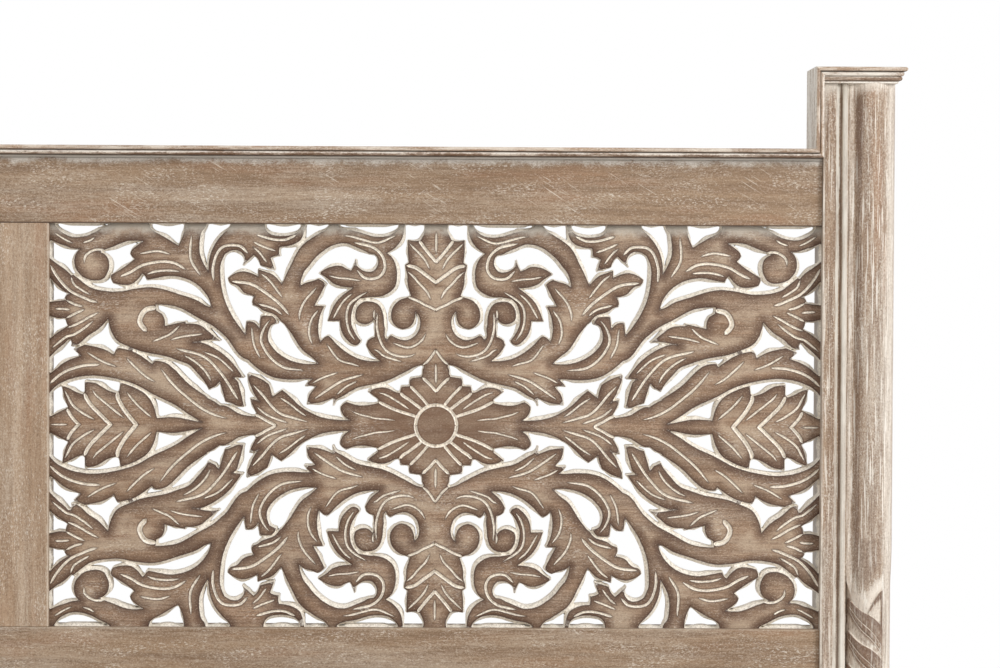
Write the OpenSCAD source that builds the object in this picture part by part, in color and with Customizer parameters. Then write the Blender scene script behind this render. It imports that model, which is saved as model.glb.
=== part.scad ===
// Carved bed frame for a mattress 1524 wide and 2032 long.
// The headboard is a post-and-rail frame with two pierced and carved panels. The footboard is a lower
// frame with plain panels, and two side rails hook onto the posts and carry the slats.
// +X is to the right seen from the foot end, +Y points to the head, +Z is up, and the origin lies on
// the floor under the middle of the whole frame.

/* [Bed] */
// Clear length between the head posts and the foot posts
bed_l = 2044; // [1900:1:2150]
// Height of the underside of the rails above the floor
rail_z = 230; // [180:1:300]
// Height of each side rail
side_rail_h = 180; // [165:1:220]
// Thickness of each side rail
side_rail_t = 28; // [26:1:32]
// Distance from the inner side of a post to the inner face of the side rail
side_rail_in = 15; // [10:1:20]

/* [Carved panels] */
// Width of each carved panel in sight
carving_w = 715; // [600:1:900]
// Height of each carved panel in sight
carving_h = 374; // [320:1:460]
// Thickness of the carved boards
carving_t = 18; // [14:1:20]
// Set-back of the carved boards behind the face of the rails
carving_in = 8; // [6:1:10]
// How far the openings narrow below the drawn front edge
fret_ease = 0.3; // [0:0.1:1]
// Largest turn between two neighbouring sides of a curved outline, in degrees
side_turn = 26; // [22:1:40]

/* [Plain panels] */
// Height of the plain panels of the headboard in sight
plain_h = 339; // [250:1:400]
// Height of the footboard panels in sight
foot_panel_h = 160; // [120:1:260]
// Thickness of the plain panels
plain_t = 12; // [8:1:14]
// How far the panel edges reach into their grooves
tongue_l = 8; // [6:0.5:9]

/* [Frame rails] */
// Thickness of all rails and stiles of the head and foot frames
frame_t = 38; // [36:1:42]
// Set-back of the rails behind the front face of the posts
frame_in = 5; // [3:1:6]
// Width of the centre stiles
stile_w = 80; // [64:1:110]
// Height of the top rails
top_rail_h = 63; // [55:1:90]
// Height of the rail under the carved panels
mid_rail_h = 80; // [60:1:110]
// Height of the bottom rails
low_rail_h = 100; // [95:1:140]

/* [Joinery] */
// Thickness of the tenons
tenon_t = 12; // [10:1:13]
// Length of the rail tenons
tenon_l = 34; // [25:1:38]
// Length of the stile tenons
stile_tenon_l = 20; // [14:1:24]
// Wood left between the mortises and the corner that holds the column
corner_wall = 2; // [1:0.5:3]
// Shoulder above and below each tenon
shoulder = 11; // [10:0.5:14]
// Play around tenons, tongues and hardware
play = 0.2; // [0.1:0.05:0.3]
// Free room at the bottom of mortises and grooves
end_room = 1; // [0.5:0.25:2]

/* [Posts] */
// Width of the posts
post_w = 68; // [66:1:80]
// Depth of the posts
post_d = 66; // [62:1:80]
// Height from the top of the rail cap to the top of the post cap
post_rise = 75.5; // [50:0.5:110]
// Radius of the round column at the outer front corner
col_r = 22; // [20:0.5:23]
// How far the column stands out of the front face
col_out = 5; // [3:0.5:7]
// Distance from the axis of the column to its flat back
col_back = 6; // [4:0.5:8]
// Height from the top of the side rails to the foot of the head columns
head_col_up = 22; // [5:1:60]
// Height at which the foot columns start
foot_col_z = 150; // [100:1:220]
// Length of the leaf carving on the head columns
head_leaf_l = 346; // [200:1:420]
// Length of the leaf carving on the foot columns
foot_leaf_l = 246; // [120:1:300]
// Height of one row of leaves
leaf_pitch = 30.7; // [24:0.1:40]
// Depth of the steps between the rows of leaves
leaf_step = 2.6; // [1:0.1:4]
// Plain length of column below the leaves
col_plain = 8; // [4:1:20]
// Radius of the cove
cove_r = 2.5; // [1.5:0.1:3]
// Radius of the bead beside the cove
bead_r = 2.6; // [1.5:0.1:2.8]
// Flat strip between the bead and the column
bead_gap = 1.1; // [0.5:0.1:2]

/* [Mouldings] */
// Thickness of the moulded boards on rails and posts
mould_t = 8.5; // [7:0.1:12]
// How far the moulding stands out of the column
mould_out = 8; // [6:0.1:12]
// Radius of the upper roll of the moulding
roll_r = 2.05; // [1.5:0.05:2.4]
// Height of the neck moulding under a post cap
neck_h = 6.3; // [4:0.1:10]
// How far the neck stands out of the column
neck_out = 3.4; // [2:0.1:5]

/* [Slats] */
// Number of slats
slat_n = 13; // [9:1:13]
// Width of a slat
slat_w = 70; // [60:1:90]
// Thickness of a slat
slat_t = 18; // [15:1:22]
// Distance from the end of a ledger to the first slat
slat_end = 34; // [10:1:60]
// Gap between a slat's end and the side rail
slat_gap = 3; // [1:0.5:6]
// Width of the ledger strips
ledger_w = 28; // [24:1:34]
// Height of the ledger strips
ledger_h = 32; // [28:1:45]
// Height from the underside of the side rail to the ledger
ledger_up = 50; // [45:1:70]
// Gap between a ledger's end and the post
ledger_gap = 5; // [2:1:20]

/* [Centre support] */
// Width of the centre beam
beam_w = 45; // [38:1:60]
// Height of the centre beam
beam_h = 70; // [60:1:72]
// Side of the square centre legs
leg_w = 45; // [36:1:45]
// Distance of each centre leg from the middle of the beam
leg_y = 330; // [200:1:500]
// Height of the underside of the centre legs
leg_z = 24; // [23:1:26]
// Length of the tenon on each centre leg
leg_tenon_l = 25; // [15:1:35]
// Thickness of the steel of the beam hangers
hanger_t = 2.5; // [2:0.1:3]
// Length of the seat of a hanger
hanger_seat = 45; // [35:1:60]
// Width of a hanger's back plate
hanger_w = 106; // [100:1:120]

/* [Feet] */
// Radius of the levelling feet
foot_r = 19; // [15:0.5:21]
// Thickness of the pad of a levelling foot
pad_t = 8; // [6:0.5:9]
// Radius of the levelling stem
stem_r = 4; // [3:0.1:5]
// Length of the levelling stem
stem_l = 52; // [46:1:60]
// Running clearance of the stem in its insert
stem_play = 0.1; // [0.08:0.01:0.1]
// Travel of the levelling feet
level_travel = 12; // [10:0.5:12]
// Outer radius of the leg inserts
insert_r = 6.5; // [6:0.1:8]
// Radius of the flange of a leg insert
insert_flange_r = 11; // [9:0.5:14]
// Thickness of that flange
insert_flange_t = 1.5; // [1:0.1:2]
// Length of the insert inside the leg
insert_l = 22; // [15:1:26]
// Radius of the glides under the posts
glide_r = 16; // [12:0.5:24]
// Thickness of the glides
glide_t = 5; // [3:0.5:8]
// Radius of the peg that holds a glide
glide_peg_r = 4; // [3:0.1:5]
// Length of that peg
glide_peg_l = 12; // [8:1:20]

/* [Rail hooks] */
// Width of the hook plates and slotted plates
plate_w = 24; // [20:1:26]
// Height of the plates
plate_h = 130; // [120:1:150]
// Thickness of the slotted plates
slot_plate_t = 2.5; // [2:0.1:3]
// Thickness of the hook plates
hook_plate_t = 3; // [2.5:0.1:4]
// Thickness of each hook
hook_t = 4; // [3:0.1:5]
// Height of the neck of a hook
hook_neck_h = 12; // [10:0.5:14]
// How far a hook drops behind the slotted plate
hook_drop = 8; // [6:0.5:9]
// How far a hook reaches behind the slotted plate
hook_reach = 6.5; // [5:0.5:8]
// Height of a slot
slot_h = 24; // [22:0.5:26]
// Distance from slot to slot
hook_pitch = 60; // [56:1:64]
// Distance of the plate screws from the middle of the plate
plate_screw_z = 56; // [54:0.5:56]

/* [Screws] */
// Radius of the screw heads
head_r = 4; // [3:0.1:4.2]
// Radius of the screw shanks
shank_r = 2.1; // [1.6:0.1:2.4]
// Play between a screw and its hole
screw_play = 0.1; // [0.05:0.05:0.2]
// Length of the slat and ledger screws
long_screw_l = 40; // [36:1:43]
// Length of the plate and hanger screws
short_screw_l = 22; // [18:1:25]

/* [Hidden] */
$fn = 48;

// Heights
plain_z = rail_z + low_rail_h;
mid_rail_z = plain_z + plain_h;
carving_z = mid_rail_z + mid_rail_h;
head_top_rail_z = carving_z + carving_h;
head_cap_z = head_top_rail_z + top_rail_h;
head_top_z = head_cap_z + mould_t + post_rise;
foot_top_rail_z = plain_z + foot_panel_h;
foot_cap_z = foot_top_rail_z + top_rail_h;
foot_top_z = foot_cap_z + mould_t + post_rise;

// Widths and depths, measured from the middle of the bed
post_x = stile_w / 2 + carving_w;
side_rail_x = post_x + side_rail_in;
overall_y = bed_l + 2 * post_d + col_out + mould_out;
head_y = overall_y / 2 - post_d;
foot_y = -overall_y / 2 + col_out + mould_out;

// Joinery
groove_d = tongue_l + end_room;
carving_y = frame_in + carving_in;
plain_y = frame_in + (frame_t - plain_t) / 2;
far = 3000;

// Corner of the post that carries the column
col_x = post_w - col_r;
col_y = col_r - col_out;
notch_w = 2 * col_r + play;
notch_d = col_y + col_back;
fillet_w = post_w - notch_w - bead_gap - 2 * bead_r - 2 * cove_r;
tenon_y = notch_d + corner_wall;
head_col_z = rail_z + side_rail_h + head_col_up;

// Slats, ledgers and beam
ledger_z = rail_z + ledger_up;
slat_z = ledger_z + ledger_h;
slat_mid_y = (head_y + foot_y + post_d) / 2;
slat_l = 2 * (side_rail_x - slat_gap);
slat_screw_x = side_rail_x - ledger_w / 2;
ledger_l = bed_l - 2 * ledger_gap;
slat_pitch = (ledger_l - 2 * slat_end - slat_w) / (slat_n - 1);
beam_z = slat_z - beam_h;
beam_end_gap = hanger_t + end_room;
beam_from = foot_y + frame_in + frame_t + beam_end_gap;
beam_to = head_y + frame_in - beam_end_gap;
leg_tenon_w = leg_w - 2 * shoulder;
hook_z = rail_z + side_rail_h / 2;

// The quarter drawing of the carving is 385 units wide and 200 high, measured from the middle of the
// rosette. The openings at its edges run one unit further, under the rails and posts. Each opening is
// a closed outline that runs smoothly through its points, and a third value of 1 marks a sharp corner.
QUARTER = [385, 200];
OPENINGS = [
    // under main scroll
    [[13, 61.5, 1], [20, 59.5], [30, 54.5], [50, 45], [70, 40.2], [77, 38.7], [93, 30], [99.5, 26.2],
     [102, 21.5, 1], [101.3, 28.5, 1], [115, 23.5], [128, 21.8, 1], [125, 32.5], [121.5, 36.5],
     [119.5, 39.3, 1], [124, 40.3], [129.7, 40, 1], [127, 43.5], [122.5, 46.8, 1], [132, 47],
     [140, 46.3], [140, 26, 1], [130, 15.5, 1], [117, 9], [84.5, 4.8, 1], [91, 9], [94.8, 18.8],
     [89, 23.5, 1], [78, 20], [57.5, 22.3, 1], [57.5, 26.5, 1], [67.5, 34.2, 1], [53, 37.8], [46, 36],
     [40, 33], [36, 32.5, 1], [34.7, 38.8, 1], [27, 39, 1], [25.8, 40.2, 1], [26.3, 43.5],
     [25.5, 47, 1], [14.5, 48.5, 1], [13.3, 51.5], [13, 56], [11.5, 59.5]],
    // between buds
    [[138, 46.4, 1], [166, 50], [182, 60.5], [190, 66.5], [192, 58, 1], [187.3, 51.2, 1], [173, 45.3],
     [167, 41.3], [164.5, 34], [163.3, 28, 1], [153.3, 35.2, 1], [150, 32.7], [137, 20.5],
     [128, 14, 1]],
    // beside bud
    [[187.3, 51.2, 1], [186.5, 45], [183.7, 38.6], [181, 32], [174.5, 22.5, 1], [179, 25],
     [184.3, 26.5, 1], [183, 22], [178, 12.5, 1], [180, 8.7, 1], [194, 10.8], [228, 27, 1],
     [215.2, 44, 1], [210.3, 24.2, 1], [205.3, 23.1], [196.3, 19.5], [191.4, 19.3, 1], [196.3, 38.6],
     [198.1, 44], [203.5, 47.7, 1], [192.3, 48.3, 1], [195.4, 52], [191, 60, 1]],
    // under big leaf
    [[182, 60.5, 1], [190, 66.5], [210, 88.8], [221, 98], [236, 106.3], [260, 118.2], [280, 120, 1],
     [279, 113.2, 1], [273.4, 110], [270.5, 98, 1], [250, 102.5, 1], [249.5, 100.5, 1], [235, 98.7],
     [226, 92], [216.5, 84.4, 1], [223.2, 85.2], [236, 83.5], [245.7, 81.7, 1], [234, 81.7],
     [227.7, 79.4], [205.3, 64.2], [192.3, 48.3, 1], [187.3, 51.2, 1]],
    // below eye body
    [[215.2, 44, 1], [217, 42.2], [219.8, 39], [222.3, 37.9], [225.9, 35.9, 1], [227.7, 39.5],
     [236.7, 51.1], [245.7, 60], [255.2, 63.7], [265.6, 67.4], [296, 73.9], [307, 78.2], [317.5, 83.6],
     [327, 105.5, 1], [336.5, 95.7], [347, 88.7], [359, 79.3], [363.3, 78.5, 1], [362.8, 82],
     [364, 84.9, 1], [367, 84.7], [369.5, 82], [376, 76.5], [386, 66.5, 1], [386, 49.5, 1],
     [380.5, 53.5], [371, 61], [353.5, 68.4, 1], [360.5, 74.7, 1], [350.3, 79, 1], [326, 72],
     [320.8, 68.6, 1], [319.8, 72], [317.5, 76, 1], [305, 73.3], [282.6, 59.8, 1], [281, 63.3, 1],
     [268, 60.6], [264.5, 58], [245.7, 40], [215, 19.5, 1], [208, 20, 1]],
    // beside palmette
    [[11.5, 201, 1], [10.7, 196, 1], [13.8, 187], [14.5, 185.5], [18, 184, 1], [28, 184.7, 1],
     [27.8, 170], [27, 163, 1], [30.4, 160.5, 1], [30.2, 157.5, 1], [28.6, 152], [28, 142],
     [24.5, 130, 1], [28, 128.5], [36, 125.5], [42, 119.5], [43.8, 106], [40, 100, 1], [44, 93, 1],
     [50, 90, 1], [51.8, 100], [56, 119], [60, 122.5], [66, 124, 1], [66, 129, 1], [57, 129.3],
     [41.5, 138.8], [39.3, 151], [45, 168.5], [49.5, 172, 1], [43, 176], [34.6, 186.5], [32, 201, 1]],
    // under left eye
    [[20.5, 115, 1], [24, 101.5], [33, 97], [41.5, 101.5], [44, 106, 1], [51, 106, 1], [51.5, 92],
     [51, 87.5], [49, 84.5, 1], [47, 88.5], [44.5, 90.5, 1], [29, 85.5], [20, 90.5], [16.2, 109]],
    // under right eye
    [[61.5, 108.5, 1], [64, 104.5], [69, 102], [79, 105.5], [77, 120], [72, 123.5], [66, 124, 1],
     [65, 129, 1], [76, 127.3], [84.6, 101], [75.4, 85, 1], [73, 81, 1], [69.3, 80.8, 1], [68, 85],
     [61, 88.6, 1], [60.4, 101]],
    // crescent
    [[75.4, 85, 1], [77, 82.5], [80, 81], [88.3, 85.8], [95, 98.3], [95.8, 105.2, 1], [107.5, 105, 1],
     [98.3, 124.2], [82, 138, 1], [103, 142.7], [107, 146], [116, 151.8, 1], [117.5, 146, 1],
     [113, 143.6], [110.3, 141, 1], [121.5, 119.5, 1], [111.5, 119.3, 1], [116, 109.5], [117, 89],
     [115.5, 83.5, 1], [111, 88], [107.7, 89.7, 1], [105, 87.5], [100, 82], [75, 66], [55, 64.3, 1],
     [67, 76.3], [69.3, 80.8, 1]],
    // inside c scroll
    [[135.7, 138, 1], [130, 141.8], [124, 143.4], [115.5, 146.5, 1], [116, 151.8, 1], [94, 158.5],
     [89, 156], [84.5, 154.3, 1], [82.5, 158], [80.2, 164.5, 1], [79.4, 159.2, 1], [72, 154],
     [62.5, 154], [57.5, 162], [61, 170.8], [66.5, 171.7], [71, 174.2], [77.5, 177], [91, 181.7],
     [122, 165.5], [127, 159], [131, 154.3]],
    // drop
    [[117, 62, 1], [131, 61.4], [162.3, 76.5], [167.7, 85.5], [167, 95], [165, 99.5],
     [158.6, 102.3, 1], [157.5, 104, 1], [152.5, 102.8, 1], [144.3, 92.5], [131.5, 74.3],
     [125.5, 69.8]],
    // under hook
    [[174.5, 159.2, 1], [177.5, 166], [181.2, 169.7, 1], [191.5, 160.5, 1], [190, 164.5], [197, 174],
     [201, 174.3], [210.5, 170], [215, 146], [204.5, 110.3], [190, 89.8, 1], [188.6, 103.2, 1],
     [182, 102.4], [175.8, 96, 1], [174.5, 108.9, 1], [168.5, 109], [163, 108.5], [158.5, 102.3, 1],
     [154, 100, 1], [152.6, 102.5, 1], [155.9, 105.9], [158.8, 109.3], [173, 115.2], [177.4, 118.3],
     [182.3, 119.8, 1], [182.8, 122.3], [180.3, 129, 1], [192, 133], [195.5, 137.3], [199, 139.8],
     [204, 141.2], [206.2, 143.5], [206.7, 146.2, 1], [203.5, 148.8], [193.6, 152.5],
     [176.7, 147.6, 1], [176.7, 154.8, 1]],
    // top a
    [[35.8, 201, 1], [37, 197.5], [46, 189.4], [67, 188.8], [75, 191.3], [83, 193.3], [97, 197.5],
     [99.5, 201, 1]],
    // outside c scroll
    [[105, 201, 1], [108.5, 195.8], [119, 189], [133.5, 178.5], [144.2, 159.6], [153.4, 140.2, 1],
     [165, 150.7], [170.3, 152.5], [176.7, 154.8, 1], [179, 158, 1], [174.5, 159.2, 1],
     [161.3, 155.5, 1], [165, 166.4, 1], [160.5, 168.6], [156.2, 169, 1], [156.8, 173],
     [156, 177.5, 1], [138, 182.4], [135.2, 184.8], [133.5, 188.3], [130.7, 201, 1]],
    // top b
    [[133.8, 201, 1], [135, 195.5], [160, 188.2], [166, 190], [170, 194], [171.5, 201, 1]],
    // beside tall leaf
    [[203.5, 201, 1], [206, 195.8], [210, 191.8], [220, 179.5], [225.5, 164.5], [226.4, 151, 1],
     [235.8, 172.2], [235.6, 184], [233.4, 192.8], [230.9, 195.8], [228.8, 201, 1]],
    // top c
    [[250.3, 201, 1], [251.5, 190], [256.5, 178, 1], [276, 189.4], [285, 195.5], [286.5, 201, 1]],
    // top d
    [[323, 201, 1], [328, 197], [334, 194.3], [340, 190.8], [364, 186.3], [378.5, 195.5],
     [381.5, 201, 1]],
    // left of ball
    [[290.7, 182.9, 1], [306, 183.2], [323, 177.2], [337, 172, 1], [331, 169.6], [327.6, 165.5],
     [327.2, 153.5], [329.5, 148.5, 1], [324.2, 148.9, 1], [311, 156.6], [299.8, 165, 1],
     [304.4, 170.3], [296, 179.5]],
    // right of ball
    [[354.3, 175, 1], [362, 175.4], [370, 178.2], [378, 180.7], [386, 184.5, 1], [386, 165.5, 1],
     [377.6, 159], [370, 154], [363.8, 148, 1], [361.7, 148.7, 1], [356, 151, 1], [358.7, 154.7],
     [358.5, 170.5]],
    // below ball
    [[223.2, 116.5, 1], [226.8, 127], [240.5, 141.7], [261, 148.5], [285, 145.2], [288.3, 144.7, 1],
     [289.5, 148], [292.6, 150.9, 1], [304, 140.3], [321.9, 141.6, 1], [323.8, 146], [324.2, 149.2, 1],
     [327.8, 151.8, 1], [330.8, 146.8], [353, 148], [357.8, 153, 1], [361.7, 148.7, 1], [357.3, 145.3],
     [345.2, 136.4], [329.6, 132.7], [314, 132.4], [300, 135.1], [284, 136.5], [254.3, 129],
     [238.5, 123.7], [228, 118]],
    // edge a
    [[386, 147.5, 1], [374.5, 136], [369, 132], [363.3, 129.8, 1], [367.5, 129.2], [369.9, 126.3, 1],
     [368.5, 123.8, 1], [386, 121.5, 1]],
    // edge b
    [[386, 108.5, 1], [374, 106], [369, 106.3, 1], [368.3, 102], [366.5, 98.2, 1], [379.8, 89.2],
     [386, 84, 1]],
    // under low stem
    [[231, 2.3, 1], [246, 11.2], [257, 18.7], [283, 31.3], [296.7, 38.9], [325, 47], [341, 48.9],
     [371, 43], [376.5, 40.2], [386, 31, 1], [386, 7, 1], [370.3, 14.8, 1], [366, 17, 1], [367.5, 20],
     [372.2, 38, 1], [366, 35.8], [358, 31.6], [352, 29.5, 1], [349.6, 32.5, 1], [349.6, 42, 1],
     [341, 41], [325, 32.8], [318.5, 31, 1], [315.2, 33, 1], [314, 41.2, 1], [296.7, 34.5],
     [288, 28.8], [277.8, 6.4, 1], [260, 7.3], [240, 4]],
];

slat_names = [for (i = [1 : slat_n]) str("slat_", i < 10 ? "0" : "", i)];

// Points of a smooth curve: each stretch is a cubic that leaves and arrives along the direction of its
// neighbours, and a stretch between two sharp corners is straight.
function xy(p) = [p.x, p.y];
function is_corner(p) = len(p) > 2;
function along(d1, d2, l) =
    (d1 / norm(d1) * norm(d2) + d2 / norm(d2) * norm(d1)) / (norm(d1) + norm(d2)) * l;
function turn(u, v) = acos(max(-1, min(1, u * v / (norm(u) * norm(v)))));
function on_curve(a, b, ta, tb, t) =
    (2 * t ^ 3 - 3 * t ^ 2 + 1) * a + (t ^ 3 - 2 * t ^ 2 + t) * ta
    + (3 * t ^ 2 - 2 * t ^ 3) * b + (t ^ 3 - t ^ 2) * tb;
function stretch(p, q, r, s) =
    let (
        a = xy(q),
        b = xy(r),
        d = b - a,
        leave = along(a - xy(p), d, norm(d)),
        arrive = along(d, xy(s) - b, norm(d)),
        ta = !is_corner(q) ? leave : is_corner(r) ? d : 1.5 * d - 0.5 * arrive,
        tb = !is_corner(r) ? arrive : is_corner(q) ? d : 1.5 * d - 0.5 * leave,
        sides = max(1, ceil(turn(ta, tb) / side_turn))
    )
    [for (j = [0 : sides - 1]) on_curve(a, b, ta, tb, j / sides)];
function smooth_outline(list) =
    let (n = len(list))
    [
        for (i = [0 : n - 1])
            each stretch(list[(i + n - 1) % n], list[i], list[(i + 1) % n], list[(i + 2) % n])
    ];

// The openings of one whole carved panel, the quarter drawing mirrored both ways
module fretwork() {
    scale_x = carving_w / 2 / QUARTER.x;
    scale_y = carving_h / 2 / QUARTER.y;
    offset(delta = -fret_ease)
        for (side = [-1, 1], half = [-1, 1], opening = OPENINGS)
            polygon([for (p = smooth_outline(opening)) [p.x * side * scale_x, p.y * half * scale_y]]);
}

// Places its children at the mirror image for the left side
module on_side(side) {
    if (side == "left") mirror([1, 0, 0]) children();
    else children();
}

// Countersunk wood screw or its hole, head flush at the origin, running down -Z
module screw_shape(l, grow) {
    head_h = head_r - shank_r;
    rotate([180, 0, 0])
        rotate_extrude()
            polygon([
                [0, 0],
                [head_r + grow, 0],
                [shank_r + grow, head_h],
                [shank_r + grow, l - 2 * shank_r],
                [0, l + grow]
            ]);
}

// One carved board: the pierced drawing cut through, with an edge that hides in the grooves
module carved_panel(side) {
    color("peru")
        on_side(side)
            translate([post_x - carving_w / 2, head_y + carving_y + carving_t, carving_z + carving_h / 2])
                rotate([90, 0, 0])
                    linear_extrude(carving_t)
                        difference() {
                            square([carving_w + 2 * tongue_l, carving_h + 2 * tongue_l], center = true);
                            fretwork();
                        }
}

module plain_panel(side, face_y, h) {
    color("burlywood")
        on_side(side)
            translate([post_x - carving_w - tongue_l, face_y + plain_y, plain_z - tongue_l])
                cube([carving_w + 2 * tongue_l, plain_t, h + 2 * tongue_l]);
}

// Groove for a panel edge, running along X, open towards +Z
module rail_groove(panel_y, panel_t) {
    translate([-post_x - end_room, panel_y - frame_in - play, -groove_d])
        cube([2 * (post_x + end_room), panel_t + 2 * play, groove_d + end_room]);
}

// Mortise for the centre stile, open towards +Z
module stile_mortise() {
    half = stile_w / 2 - shoulder + play;
    translate([-half, tenon_y - frame_in - play, -stile_tenon_l - end_room])
        cube([2 * half, tenon_t + 2 * play, stile_tenon_l + 2 * end_room]);
}

// Rail of a head or foot frame with a tenon at each end; its front face is y = 0
module frame_rail(h) {
    translate([-post_x, 0, 0]) cube([2 * post_x, frame_t, h]);
    translate([-post_x - tenon_l, tenon_y - frame_in, shoulder])
        cube([2 * (post_x + tenon_l), tenon_t, h - 2 * shoulder]);
}

// Grooves and mortise in the upper edge of a rail of height h
module upper_edge(h, panel_y, panel_t) {
    translate([0, 0, h]) {
        rail_groove(panel_y, panel_t);
        stile_mortise();
    }
}

// The same in the lower edge
module lower_edge(panel_y, panel_t) {
    mirror([0, 0, 1]) {
        rail_groove(panel_y, panel_t);
        stile_mortise();
    }
}

module top_rail(face_y, z, panel_y, panel_t) {
    color("tan")
        translate([0, face_y + frame_in, z])
            difference() {
                frame_rail(top_rail_h);
                lower_edge(panel_y, panel_t);
            }
}

module mid_rail() {
    color("tan")
        translate([0, head_y + frame_in, mid_rail_z])
            difference() {
                frame_rail(mid_rail_h);
                upper_edge(mid_rail_h, carving_y, carving_t);
                lower_edge(plain_y, plain_t);
            }
}

// The bottom rails also have the pilot holes of the beam hangers, on the side towards the mattress
module bottom_rail(face_y, end) {
    color("tan")
        difference() {
            translate([0, face_y + frame_in, rail_z])
                difference() {
                    frame_rail(low_rail_h);
                    upper_edge(low_rail_h, plain_y, plain_t);
                }
            at_hanger(end) hanger_screws(screw_play);
        }
}

// Stile between two rails with a tenon at each end and a groove in each side
module stile(face_y, z, h, panel_y, panel_t) {
    color("tan")
        translate([0, face_y, z])
            difference() {
                union() {
                    translate([-stile_w / 2, frame_in, 0]) cube([stile_w, frame_t, h]);
                    translate([-stile_w / 2 + shoulder, tenon_y, -stile_tenon_l])
                        cube([stile_w - 2 * shoulder, tenon_t, h + 2 * stile_tenon_l]);
                }
                for (side = [-1, 1])
                    translate([side * stile_w / 2 - groove_d, panel_y - play, -end_room])
                        cube([2 * groove_d, panel_t + 2 * play, h + 2 * end_room]);
            }
}

// Section of a post above its square foot: flat fillet, cove, bead and the corner for the column
module post_section() {
    cove_x = fillet_w + cove_r;
    bead_from = fillet_w + 2 * cove_r;
    notch_x = post_w - notch_w;
    difference() {
        square([post_w, post_d]);
        translate([cove_x, 0]) circle(cove_r);
        translate([bead_from, -end_room]) square([notch_x - bead_from, bead_r + end_room]);
        translate([notch_x, -end_room]) square([notch_w + end_room, notch_d + end_room]);
    }
    translate([bead_from + bead_r, bead_r]) circle(bead_r);
}

// Mortise for a rail of height h whose underside is at height z, in the inner side of a post
module rail_mortise(z, h) {
    translate([-end_room, tenon_y - play, z + shoulder - play])
        cube([tenon_l + 2 * end_room, tenon_t + 2 * play, h - 2 * shoulder + 2 * play]);
}

// Groove for a panel of sight height h from height z up
module post_groove(z, h, panel_y, panel_t) {
    translate([-end_room, panel_y - play, z - groove_d])
        cube([groove_d + end_room, panel_t + 2 * play, h + 2 * groove_d]);
}

// Post blank: square foot, moulded section above col_z, and the hole for its glide
module post_blank(col_z, top) {
    difference() {
        union() {
            translate([0, 0, glide_t]) linear_extrude(col_z - glide_t) square([post_w, post_d]);
            translate([0, 0, col_z]) linear_extrude(top - col_z) post_section();
        }
        translate([post_w / 2, post_d / 2, glide_t - end_room])
            cylinder(r = glide_peg_r + play, h = glide_peg_l + 2 * end_room);
    }
}

module head_post(side) {
    top = head_top_z - mould_t - neck_h;
    color("rosybrown")
        on_side(side)
            difference() {
                translate([post_x, head_y, 0])
                    difference() {
                        post_blank(head_col_z, top);
                        rail_mortise(head_top_rail_z, top_rail_h);
                        rail_mortise(mid_rail_z, mid_rail_h);
                        rail_mortise(rail_z, low_rail_h);
                        post_groove(carving_z, carving_h, carving_y, carving_t);
                        post_groove(plain_z, plain_h, plain_y, plain_t);
                    }
                at_rail_end("head") post_pocket();
            }
}

module foot_post(side) {
    top = foot_top_z - mould_t - neck_h;
    color("rosybrown")
        on_side(side)
            difference() {
                translate([post_x, foot_y, 0])
                    difference() {
                        post_blank(foot_col_z, top);
                        rail_mortise(foot_top_rail_z, top_rail_h);
                        rail_mortise(rail_z, low_rail_h);
                        post_groove(plain_z, foot_panel_h, plain_y, plain_t);
                    }
                at_rail_end("foot") post_pocket();
            }
}

// Round column with a flat back: plain shaft, and rows of leaves that flare upwards
module column(side, face_y, from_z, top_z, leaf_l) {
    to_z = top_z - mould_t - neck_h;
    rows = max(1, round(leaf_l / leaf_pitch));
    row_h = leaf_l / rows;
    flare = 0.86 * row_h;
    leaf_z = from_z + col_plain;
    inner = col_r - leaf_step;
    color("rosybrown")
        on_side(side)
            translate([post_x + col_x, face_y + col_y, 0])
                difference() {
                    rotate_extrude($fn = 64)
                        polygon([
                            [0, from_z],
                            [col_r, from_z],
                            [col_r, leaf_z],
                            for (i = [0 : rows - 1])
                                each [
                                    [inner, leaf_z + i * row_h],
                                    [col_r - leaf_step / 4, leaf_z + i * row_h + flare / 2],
                                    [col_r, leaf_z + i * row_h + flare]
                                ],
                            [inner, leaf_z + leaf_l],
                            [col_r, leaf_z + leaf_l],
                            [col_r, to_z],
                            [0, to_z]
                        ]);
                    translate([-far, col_back, -far]) cube(2 * far);
                }
}

// Nose of the mouldings: two rolls, the upper one further out. x = 0 is the face of the column, and
// the board behind the nose is d deep.
module nose(d) {
    low_r = (mould_t - 2 * roll_r) / 2;
    low_x = mould_out - roll_r - low_r - 0.5 * roll_r;
    top_x = mould_out - roll_r;
    translate([low_x, low_r]) circle(low_r);
    translate([top_x, mould_t - roll_r]) circle(roll_r);
    translate([-d, 0]) square([d + low_x, 2 * low_r]);
    translate([-d, 2 * low_r]) square([d + top_x, 2 * roll_r]);
}

// Neck under the post caps: a hollow below and a roll above
module neck(d) {
    r = neck_h / 3;
    translate([neck_out - r, neck_h - r]) circle(r);
    translate([-d, neck_h - 2 * r]) square([d + neck_out - r, 2 * r]);
    translate([-d, 0]) square([d + neck_out - 1.5 * r, neck_h - 2 * r]);
}

// Moulded board over the rails, mitred at both ends against the risers
module rail_cap(face_y, z) {
    color("burlywood")
        intersection() {
            translate([-post_x, face_y - col_out, z])
                rotate([90, 0, 90])
                    linear_extrude(2 * post_x) mirror([1, 0]) nose(post_d + col_out);
            translate([0, face_y + far, z])
                rotate([90, 0, 0])
                    linear_extrude(2 * far)
                        polygon([
                            [-post_x, 0],
                            [post_x, 0],
                            [post_x - mould_t, mould_t],
                            [-post_x + mould_t, mould_t]
                        ]);
        }
}

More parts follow.
